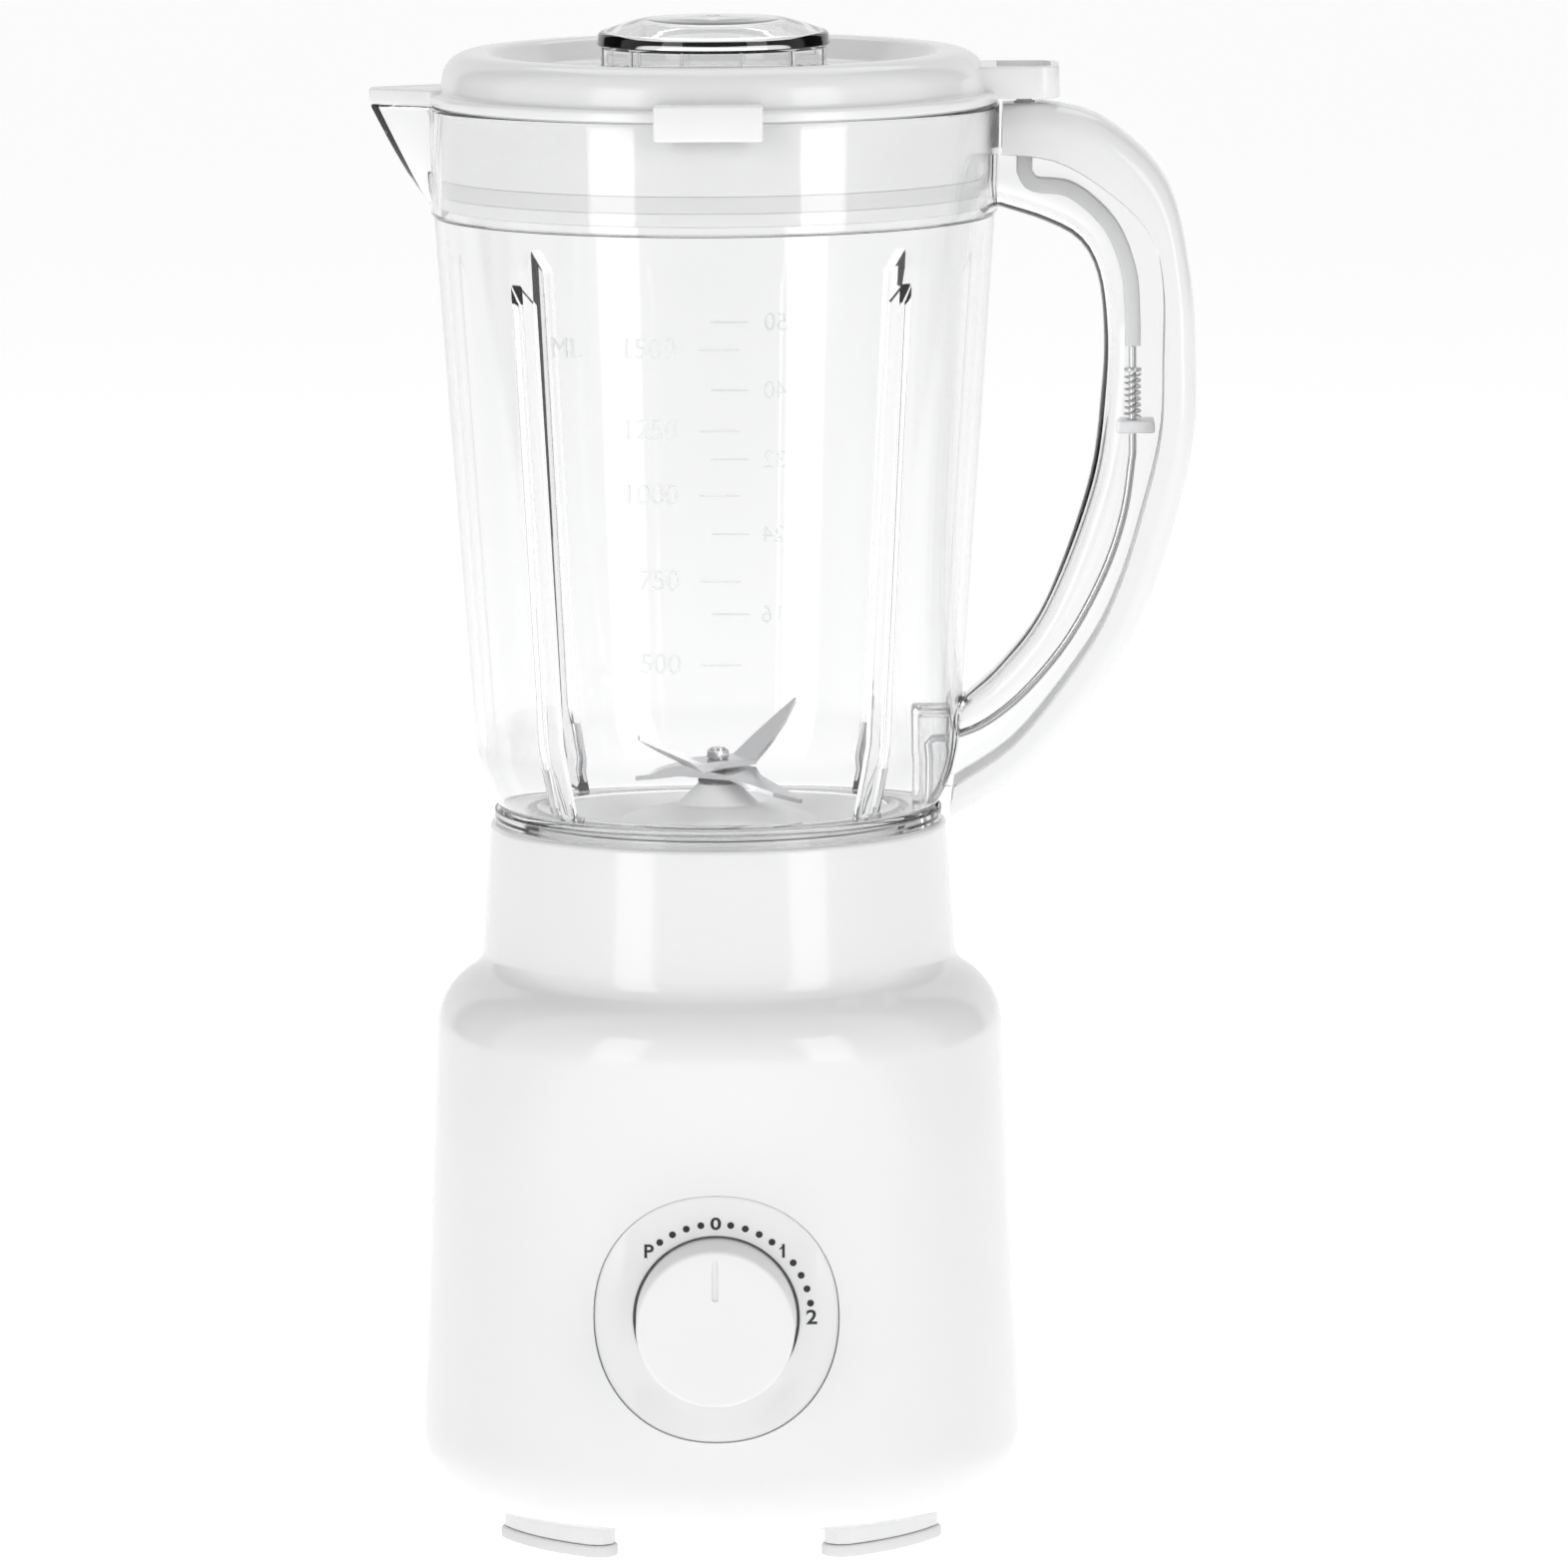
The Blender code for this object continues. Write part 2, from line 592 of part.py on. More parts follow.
# ---------------------------------------------------------------- controls
def make_panel(frame, surface):
    """An oval plate that follows the housing at its outline and dips to a round cup."""
    hole = superellipse(PANEL_HOLE, PANEL_HOLE, 2)
    oval = superellipse(PANEL_WIDTH / 2, PANEL_HEIGHT / 2, PANEL_SQUARENESS)
    dish_y = base_front(0, KNOB_Z) + PANEL_DISH

    def ring(share, back):
        points = []
        for (hx, hz), (ox, oz) in zip(hole, oval):
            x = hx + (ox - hx) * share
            z = KNOB_Z + hz + (oz - hz) * share
            skin = base_front(x, z) + PANEL_RECESS
            ease = share * share * (3 - 2 * share)
            points.append((x, dish_y + (skin - dish_y) * ease + back, z))
        return points

    def flat_ring(radius, y):
        return [(x, y, KNOB_Z + z) for x, z in superellipse(radius, radius, 2)]

    floor_y = dish_y + PANEL_CUP_DEPTH
    shares = [0.0, 0.35, 0.7, 1.0]
    rings = [ring(share, 0.0) for share in reversed(shares)]
    rings.append(flat_ring(PANEL_HOLE, floor_y))
    rings.append(flat_ring(SHAFT_RADIUS + 1.2, floor_y))
    rings.append(flat_ring(SHAFT_RADIUS + 1.2, floor_y + PANEL_WALL))
    rings.append(flat_ring(PANEL_HOLE + PANEL_WALL, floor_y + PANEL_WALL))
    cup_share = PANEL_WALL / (PANEL_WIDTH / 2 - PANEL_HOLE)
    rings += [ring(share, PANEL_WALL) for share in (cup_share, 0.6, 1.0)]
    finish("control_panel", loft(rings, chain=True), surface, frame)
    return floor_y


def make_controls(frame, white, dark, brass):
    floor_y = make_panel(frame, white)
    knob_axis = empty("knob_axis", (0, floor_y, KNOB_Z), frame)
    depth = floor_y - 0.5 - KNOB_FACE_Y
    face = depth
    wall = 2.0
    hub = SHAFT_RADIUS + 2.7
    profile = rounded_path([(0, face, 0), (KNOB_RADIUS - KNOB_TAPER, face, 0.9), (KNOB_RADIUS, 0, 0),
                            (KNOB_RADIUS - wall, 0, 0), (KNOB_RADIUS - wall - KNOB_TAPER, face - wall, 0),
                            (hub, face - wall, 0), (hub, 1, 0), (SHAFT_RADIUS + GAP, 1, 0),
                            (SHAFT_RADIUS + GAP, face - 5, 0), (0, face - 5, 0)], 2)
    upright = Matrix.Translation((0, -0.5, 0)) @ Matrix.Rotation(math.radians(90), 4, "X")
    knob = finish("speed_knob", lathe(profile, ROUND_SIDES), white, knob_axis, upright)
    groove = finish("knob_groove", box(-0.75, 0.75, KNOB_RADIUS - 13, KNOB_RADIUS - 3, face - 0.5, face + 2),
                    None, knob_axis, upright)
    cut(knob, groove)
    shaft_foot = -(PANEL_WALL + 4.0)
    finish("switch_shaft", rod(SHAFT_RADIUS, shaft_foot, face - 5 - GAP, 16), brass, knob_axis, upright)

    front = floor_y + PANEL_WALL + GAP
    half = SWITCH_SIDE / 2
    inward = Matrix.Translation((0, front, KNOB_Z)) @ Matrix.Rotation(math.radians(-90), 4, "X")
    switch = finish("speed_switch", box(-half, half, -half, half, 0, SWITCH_DEPTH, 3), dark, frame, inward)
    socket = finish("switch_socket", rod(SHAFT_RADIUS + GAP, -2, 5, 16), None, frame, inward)
    cut(switch, socket)


# ---------------------------------------------------------------- motor
def bolt_holes(low, high):
    return [moved(rod(BOLT_SHANK + HOLE_GAP, low, high, 8), x, y) for x, y in corner_places(BOLT_X, BOLT_Y)]


def make_bracket(name, frame, surface, steel, low, cup_down):
    """A plate with a cup that holds a ball bearing; the cup hangs down or stands up."""
    plate = finish(name, box(-STACK_WIDTH / 2, STACK_WIDTH / 2, -STACK_DEPTH / 2, STACK_DEPTH / 2,
                             low, low + BRACKET_THICKNESS, 5), surface, frame)
    cup_outer = BEARING_RADIUS + GAP + 2.5
    depth = BEARING_HEIGHT + GAP
    if cup_down:
        span = (low + BRACKET_THICKNESS - 1 - depth, low + 1)
        pocket = (span[0] - 1, low + BRACKET_THICKNESS - 1)
        ring = (span[0], span[0] + BEARING_HEIGHT)
    else:
        span = (low + BRACKET_THICKNESS - 1, low + 1 + depth)
        pocket = (low + 1, span[1] + 1)
        ring = (span[1] - BEARING_HEIGHT, span[1])
    join(plate, finish(f"{name}_cup", rod(cup_outer, *span, 20), None, frame))
    holes = [rod(BEARING_RADIUS + GAP, *pocket, 20), rod(MOTOR_SHAFT_RADIUS + 2, low - 12, low + 15, 16)]
    cut(plate, finish(f"{name}_pocket", holes[0], None, frame))
    cut(plate, finish(f"{name}_bore", holes[1], None, frame))
    through = merged(bolt_holes(low - 2, low + BRACKET_THICKNESS + 2))
    cut(plate, finish(f"{name}_holes", through, None, frame))
    bearing = name.replace("motor_bracket", "bearing")
    finish(bearing, tube(MOTOR_SHAFT_RADIUS + GAP, BEARING_RADIUS, *ring, 20), steel, frame)


def make_stator(frame, iron, copper):
    half_x, half_y = STACK_WIDTH / 2, STACK_DEPTH / 2
    block = box(-half_x, half_x, -half_y, half_y, STACK_BOTTOM, STACK_TOP, 4)
    stack = finish("stator_core", block, iron, frame)
    in_x, in_y, chamfer = half_x - STACK_YOKE, half_y - STACK_YOKE, 9.0
    window = []
    for sx, sy in ((1, 1), (-1, 1), (-1, -1), (1, -1)):
        pair = [(sx * in_x, sy * (in_y - chamfer)), (sx * (in_x - chamfer), sy * in_y)]
        window += pair if sx * sy > 0 else pair[::-1]
    cut(stack, finish("stator_window", prism(window, STACK_BOTTOM - 2, STACK_TOP + 2), None, frame))
    outer = BORE_RADIUS + POLE_SHOE
    shoe_angle = 52
    coil_half = in_y - chamfer + 0.5 - GAP
    for side, name in ((1, "right"), (-1, "left")):
        shoe = []
        for reach, order in ((BORE_RADIUS, range(-4, 5)), (outer, range(4, -5, -1))):
            for step in order:
                angle = math.radians(shoe_angle * step / 4)
                shoe.append((side * reach * math.cos(angle), reach * math.sin(angle)))
        pole = [(side * (outer - 1.2), -POLE_HALF_WIDTH), (side * (in_x + 1), -POLE_HALF_WIDTH),
                (side * (in_x + 1), POLE_HALF_WIDTH), (side * (outer - 1.2), POLE_HALF_WIDTH)]
        join(stack, finish(f"pole_shoe_{name}", prism(shoe, STACK_BOTTOM, STACK_TOP), None, frame))
        join(stack, finish(f"pole_body_{name}", prism(pole, STACK_BOTTOM, STACK_TOP), None, frame))
        x0, x1 = sorted((side * (outer + 0.5), side * (in_x - 0.5)))
        low, high = STACK_BOTTOM - 7, STACK_TOP + 7
        loop = prism(box_outline(-coil_half, coil_half, low, high, 4), x0, x1, "yz")
        coil = finish(f"field_coil_{name}", loop, copper, frame)
        room = POLE_HALF_WIDTH + 0.5
        inside = box_outline(-room, room, STACK_BOTTOM - 0.5, STACK_TOP + 0.5)
        cut(coil, finish(f"coil_window_{name}", prism(inside, x0 - 2, x1 + 2, "yz"), None, frame))
    cut(stack, finish("stator_bolt_holes", merged(bolt_holes(STACK_BOTTOM - 2, STACK_TOP + 2)), None, frame))


def make_brushes(frame, plastic, carbon):
    middle = (LOWER_BRACKET_TOP + STACK_BOTTOM) / 2 + 1
    tip = COMMUTATOR_RADIUS + GAP
    for side, name in ((1, "right"), (-1, "left")):
        x0, x1 = sorted((side * (tip + 4), side * (tip + 25)))
        block = box(x0, x1, -6, 6, LOWER_BRACKET_TOP + GAP, middle + 6)
        holder = finish(f"brush_holder_{name}", block, plastic, frame)
        half = BRUSH_HEIGHT / 2
        slot = box(x0 - 2, x1 + 2, -half - GAP, half + GAP, middle - half - GAP, middle + half + GAP)
        cut(holder, finish(f"brush_slot_{name}", slot, None, frame))
        x0, x1 = sorted((side * tip, side * (tip + 18)))
        finish(f"carbon_brush_{name}", box(x0, x1, -half, half, middle - half, middle + half), carbon, frame)
    return middle


def make_rotor(frame, steel, iron, copper, plastic, middle):
    spin = empty("motor_axis", (0, 0, 0), frame)
    shaft_low = LOWER_BRACKET_TOP - BRACKET_THICKNESS - 3
    finish("motor_shaft", rod(MOTOR_SHAFT_RADIUS, shaft_low, STAR_TOP - 3 - GAP, 16), steel, spin)
    bore = MOTOR_SHAFT_RADIUS + GAP
    slots = 10
    outline = []
    for index in range(slots):
        for reach, shift in ((CORE_RADIUS, 3), (CORE_RADIUS, 18), (CORE_RADIUS, 33), (12.5, 31), (12.5, 5)):
            angle = math.radians(index * 360 / slots + shift)
            outline.append((reach * math.cos(angle), reach * math.sin(angle)))
    core = finish("armature_core", prism(outline, STACK_BOTTOM, STACK_TOP), iron, spin)
    cut(core, finish("core_bore", rod(bore, STACK_BOTTOM - 2, STACK_TOP + 2, 16), None, spin))
    for name, low in (("lower", STACK_BOTTOM - GAP - 8), ("upper", STACK_TOP + GAP)):
        ring = rounded_path([(bore + 1, low, 0), (17, low, 3), (17, low + 8, 3), (bore + 1, low + 8, 0)], 2)
        finish(f"armature_winding_{name}", lathe(ring, 18), copper, spin)
    finish("commutator", tube(bore, COMMUTATOR_RADIUS, middle - 6, middle + 6, 20), copper, spin)

    low = STACK_TOP + 8 + 2 * GAP + 1.5
    fan = finish("cooling_fan", tube(bore, FAN_RADIUS, low, low + 1.6, 24), plastic, spin)
    blades = []
    for index in range(FAN_BLADES):
        blade = box(9, FAN_RADIUS - 0.5, -0.7, 0.7, low + 1, low + 9)
        bmesh.ops.rotate(blade, cent=(0, 0, 0), verts=blade.verts,
                         matrix=Matrix.Rotation(2 * math.pi * index / FAN_BLADES, 3, "Z"))
        blades.append(blade)
    join(fan, finish("fan_blades", merged(blades), None, spin))

    disc = finish("drive_coupling", rod(COUPLING_DISC, STAR_BASE - 4, STAR_BASE, 24), plastic, spin)
    join(disc, finish("drive_star", prism(star(0), STAR_BASE - 1, STAR_TOP), None, spin))
    cut(disc, finish("drive_bore", rod(bore, STAR_BASE - 6, STAR_TOP - 3, 16), None, spin))


def star(extra):
    """The coupling's six-lobed outline, grown by extra for the socket."""
    points = []
    for index in range(24):
        angle = 2 * math.pi * index / 24
        reach = STAR_RADIUS + STAR_LOBE * math.cos(6 * angle) + extra
        points.append((reach * math.cos(angle), reach * math.sin(angle)))
    return points


def make_motor(frame, metal):
    upper = UPPER_BRACKET_TOP - BRACKET_THICKNESS
    make_bracket("motor_bracket_upper", frame, metal["alloy"], metal["steel"], upper, True)
    lower = LOWER_BRACKET_TOP - BRACKET_THICKNESS
    make_bracket("motor_bracket_lower", frame, metal["alloy"], metal["steel"], lower, False)
    make_stator(frame, metal["iron"], metal["copper"])
    middle = make_brushes(frame, metal["dark"], metal["carbon"])
    make_rotor(frame, metal["steel"], metal["iron"], metal["copper"], metal["dark"], middle)
    head = lower - GAP
    top = UPPER_BRACKET_TOP + GAP + BOLT_GRIP
    profile = [(0, head - 2.6), (3.4, head - 2.6), (3.4, head),
               (BOLT_SHANK, head), (BOLT_SHANK, top), (0, top)]
    for index, (x, y) in enumerate(corner_places(BOLT_X, BOLT_Y), 1):
        finish(f"motor_bolt_{index}", moved(lathe(profile, 8), x, y), metal["steel"], frame)


# ---------------------------------------------------------------- jar and handle
def jar_corners():
    return [(JAR_TOP_RADIUS, RIM, 0), (JAR_STEP_RADIUS + JAR_STEP, SEAT + JAR_STEP_HEIGHT + 1.5, 0),
            (JAR_STEP_RADIUS, SEAT + JAR_STEP_HEIGHT, 0),
            (JAR_KNEE_RADIUS, SEAT + JAR_KNEE_HEIGHT, JAR_KNEE_BEND),
            (JAR_FOOT_RADIUS, SEAT + JAR_FLANGE_HEIGHT, 0)]


def jar_radius(z):
    """Outer radius of the jar's wall at a height, by straight lines between corners."""
    path = rounded_path(jar_corners(), 3)
    for (r1, z1), (r2, z2) in zip(path, path[1:]):
        if z2 <= z <= z1:
            return r1 + (r2 - r1) * (z1 - z) / (z1 - z2)
    return path[0][0] if z > RIM else path[-1][0]


def jar_angles():
    """Even angles in degrees, with a few more where the spout's point needs them."""
    even = [index * 360 / ROUND_SIDES for index in range(ROUND_SIDES)]
    extra = [180 + side * share * SPOUT_HALF_ANGLE for share in (0.25, 1.0) for side in (-1, 1)]
    far = [angle for angle in even if angle == 180 or abs(angle - 180) > SPOUT_HALF_ANGLE + 0.5]
    return sorted(far + extra)


def jar_ring(radius, z):
    """A ring of the jar's wall, pulled out to the spout's V above its lowest point."""
    rise = (z - (RIM - SPOUT_DEPTH)) / SPOUT_DEPTH
    reach = SPOUT_REACH * max(rise, 0.0) ** 0.8
    points = []
    for angle in jar_angles():
        share = max(1 - abs(angle - 180) / SPOUT_HALF_ANGLE, 0.0)
        out = radius + reach * share
        points.append((out * math.cos(math.radians(angle)), out * math.sin(math.radians(angle)), z))
    return points


def with_spout_steps(path):
    """Add rings in the spout's height, so that its lower edge runs in a curve."""
    (r_top, z_top), (r_low, z_low) = path[0], path[1]
    heights = [RIM - SPOUT_DEPTH * share for share in (0.35, 0.7, 0.9, 1.0)]
    between = [(r_top + (r_low - r_top) * (z_top - z) / (z_top - z_low), z) for z in heights if z > z_low]
    return [path[0]] + between + path[1:]


def handle_line(points):
    """Side-view points of a handle line: (stand-out from the wall, height above seat)."""
    stretch = JAR_HEIGHT / HANDLE_DRAWN_HEIGHT
    placed = []
    for out, height in points:
        z = SEAT + height * stretch
        placed.append((jar_radius(z) + out, z))
    return placed


def rooted(curve):
    """The curve with one more point at each end, sunk into the jar's wall."""
    first, last = curve[0], curve[-1]
    return [Vector((jar_radius(first.y) - ROOT_SINK, first.y)), *curve,
            Vector((jar_radius(last.y) - ROOT_SINK, last.y))]


def shell_section(base, top, half_width, wall, wall_top):
    """A U of wall thickness around the line from base to top, open at base."""
    rise = top - base
    depth = rise.length
    along = rise / depth
    outer = rounded_path([(-half_width, 0, 0), (-half_width, depth, depth * 0.45),
                          (half_width, depth, depth * 0.45), (half_width, 0, 0)], 3)
    inner_half, inner_depth = half_width - wall, depth - wall_top
    bend = max(depth * 0.45 - wall, 0.5)
    inner = rounded_path([(inner_half, 0, 0), (inner_half, inner_depth, bend),
                          (-inner_half, inner_depth, bend), (-inner_half, 0, 0)], 2)
    section = []
    for across, up in outer + inner:
        place = base + along * up
        section.append((place.x, across, place.y))
    return section


def make_jar(frame, clear, white):
    lift = empty("jar_lift_axis", (0, 0, SEAT), frame)
    lift_back = Matrix.Translation((0, 0, -SEAT))
    outer = with_spout_steps(rounded_path(jar_corners(), 3))
    rings = [jar_ring(radius, z) for radius, z in outer]
    flange_top = SEAT + JAR_FLANGE_HEIGHT
    floor_top = SEAT + JAR_FLOOR_HEIGHT
    lip_low = floor_top - 1.8
    lower = [(JAR_FLANGE_RADIUS, flange_top), (JAR_FLANGE_RADIUS, SEAT), (SKIRT_OUTER, SEAT),
             (SKIRT_OUTER, SEAT - SKIRT_LENGTH), (SKIRT_INNER, SEAT - SKIRT_LENGTH), (SKIRT_INNER, lip_low),
             (LIP_RADIUS, lip_low), (LIP_RADIUS, floor_top), (JAR_FOOT_RADIUS - 3.2, floor_top)]
    rings += [jar_ring(radius, z) for radius, z in lower]
    inner = [point for point in outer if point[1] > floor_top + 2]
    rings += [jar_ring(radius - JAR_WALL, z) for radius, z in reversed(inner)]
    jar = finish("jar", loft(rings, chain=True), clear, lift, lift_back)

    ribs = []
    for index in range(4):
        low, high = floor_top - 0.5, SEAT + RIB_TOP
        foot, middle, top = (jar_radius(z) - JAR_WALL for z in (low + 4, low + 20, high))
        outline = [(foot - RIB_DEPTH - 1, low), (foot + 0.6, low + 3), (middle + 1, low + 20),
                   (top + 1, high + 4), (top - RIB_DEPTH, high - 2), (middle - RIB_DEPTH, low + 20)]
        rib = prism(outline, -RIB_WIDTH / 2, RIB_WIDTH / 2, "xz")
        bmesh.ops.rotate(rib, cent=(0, 0, 0), verts=rib.verts,
                         matrix=Matrix.Rotation(math.radians(45 + 90 * index), 3, "Z"))
        ribs.append(rib)
    join(jar, finish("jar_ribs", merged(ribs), None, lift, lift_back))

    seam_curve = even_curve(handle_line(SEAM_LINE), HANDLE_STATIONS)
    grip_curve = even_curve(handle_line(GRIP_LINE), HANDLE_STATIONS)
    sections = []
    for low, high in zip(rooted(seam_curve), rooted(grip_curve)):
        step = (high - low).normalized() * GAP
        sections.append(shell_section(low + step, high, CHANNEL_HALF_WIDTH, CHANNEL_WALL, CHANNEL_WALL))
    join(jar, finish("handle_channel", loft(sections), None, lift, lift_back))

    inside = BASE_PIN_X - BASE_PIN_RADIUS - 1.2
    half = POCKET_HALF_WIDTH
    boss_top = SEAT + POCKET_TOP + POCKET_WALL
    outline = [(inside - POCKET_WALL, boss_top), (inside - POCKET_WALL, SEAT + 0.5)]
    for height in (SEAT + 0.5, floor_top, SEAT + JAR_KNEE_HEIGHT / 2, SEAT + JAR_KNEE_HEIGHT, boss_top):
        outline.append((jar_radius(height) - JAR_WALL / 2, height))
    boss = prism(outline, -half - POCKET_WALL, half + POCKET_WALL, "xz")
    join(jar, finish("pocket_boss", boss, None, lift, lift_back))
    pocket = box(inside, JAR_KNEE_RADIUS + 2, -half, half, SEAT + JAR_FLANGE_HEIGHT, SEAT + POCKET_TOP)
    shaft = box(inside, inside + 5, -half, half, SEAT - 2, SEAT + JAR_FLANGE_HEIGHT + 1)
    cut(jar, finish("pocket_room", pocket, None, lift, lift_back))
    cut(jar, finish("pocket_mouth", shaft, None, lift, lift_back))

    back_curve = even_curve(handle_line(BACK_LINE), HANDLE_STATIONS)
    sections = [shell_section(low, high, COVER_HALF_WIDTH, COVER_WALL, COVER_WALL)
                for low, high in zip(seam_curve, back_curve)]
    cover = finish("handle_cover", loft(sections), white, lift, lift_back)
    reach = ROD_WIDTH / 2 + 0.6
    slot = box(ROD_X - reach, ROD_X + reach, -ROD_HALF_Y - 0.6, ROD_HALF_Y + 0.6, RIM - 12, RIM + 8)
    cut(cover, finish("cover_slot", slot, None, lift, lift_back))
    return lift


# ---------------------------------------------------------------- lid interlock
def swept(path, section):
    """Sweep a flat section along a path in the plane y = 0."""
    rings = []
    for index, at in enumerate(path):
        before = path[max(index - 1, 0)]
        after = path[min(index + 1, len(path) - 1)]
        ahead = (after - before).normalized()
        side = Vector((ahead.y, -ahead.x))
        rings.append([(at.x + side.x * a, b, at.y + side.y * a) for a, b in section])
    return loft(rings)


def circle(radius, sides):
    return [(radius * math.cos(2 * math.pi * i / sides), radius * math.sin(2 * math.pi * i / sides))
            for i in range(sides)]


def make_interlock(frame, lift, white, steel):
    stretch = JAR_HEIGHT / HANDLE_DRAWN_HEIGHT
    slide = empty("interlock_axis", (0, 0, 0), frame)

    def up(height):
        return SEAT + height * stretch

    pin_x = jar_radius(up(110)) + PIN_STANDOUT
    top = RIM - TONGUE_DROP - GAP
    bend = [(ROD_X, up(165)), (ROD_X + 2.5, up(161.8)), (ROD_X + 11.9, up(160.2)), (pin_x - 5.8, up(151.6)),
            (pin_x - 1.0, up(140)), (pin_x, up(128)), (pin_x, up(ROD_FOOT_HEIGHT))]
    path = [Vector((ROD_X, top))] + even_curve(bend, 12)
    section = [(-ROD_WIDTH / 2, -ROD_HALF_Y), (ROD_WIDTH / 2, -ROD_HALF_Y),
               (ROD_WIDTH / 2, ROD_HALF_Y), (-ROD_WIDTH / 2, ROD_HALF_Y)]
    finish("interlock_rod", swept(path, section), white, slide)

    knee = [(pin_x, up(93))] + handle_line(LINK_LINE) + [(BASE_PIN_X + 1.5, up(20.6))]
    path = [Vector((pin_x, up(ROD_FOOT_HEIGHT) - GAP))] + even_curve(knee, 9)
    path += [Vector((BASE_PIN_X, up(20.6) - 1.5)), Vector((BASE_PIN_X, COLLAR_TOP + 2 * GAP))]
    link = finish("interlock_link", swept(path, circle(PIN_RADIUS, 6)), steel, slide)
    seat = up(COLLAR_ON_PIN_HEIGHT)
    join(link, finish("link_collar", moved(rod(2.3, seat, seat + 1.0, 12), pin_x), None, slide))

    bracket_top = up(SPRING_SEAT_HEIGHT)
    back = Matrix.Translation((0, 0, -SEAT))
    plate = box(pin_x - 4.2, pin_x + 5.5, -6, 6, bracket_top - 3, bracket_top)
    bracket = finish("spring_bracket", plate, white, lift, back)
    hole = moved(rod(PIN_RADIUS + HOLE_GAP, bracket_top - 5, bracket_top + 2, 12), pin_x)
    cut(bracket, finish("bracket_hole", hole, None, lift, back))

    steps_per_turn = 8
    steps = SPRING_TURNS * steps_per_turn
    low = bracket_top + GAP + SPRING_WIRE
    high = seat - GAP - SPRING_WIRE
    rings = []
    for step in range(steps + 1):
        angle = 2 * math.pi * step / steps_per_turn
        z = low + (high - low) * step / steps
        across, along = math.cos(angle), math.sin(angle)
        rings.append([((SPRING_RADIUS + a) * across, (SPRING_RADIUS + a) * along, z + b)
                      for a, b in circle(SPRING_WIRE, 4)])
    finish("interlock_spring", moved(loft(rings), pin_x), steel, slide)

    pin_axis = empty("base_pin_axis", (0, 0, 0), frame)
    pin = moved(rod(BASE_PIN_RADIUS, PIN_FOOT_Z, COLLAR_TOP + GAP, 12), BASE_PIN_X)
    finish("base_interlock_pin", pin, white, pin_axis)


def make_microswitch(frame, dark):
    top = PIN_FOOT_Z - 2.8
    body = box(BASE_PIN_X - 6.6, BASE_PIN_X + 3.2, -3.2, 3.2, top - 13, top, 0.8)
    finish("interlock_microswitch", body, dark, frame)


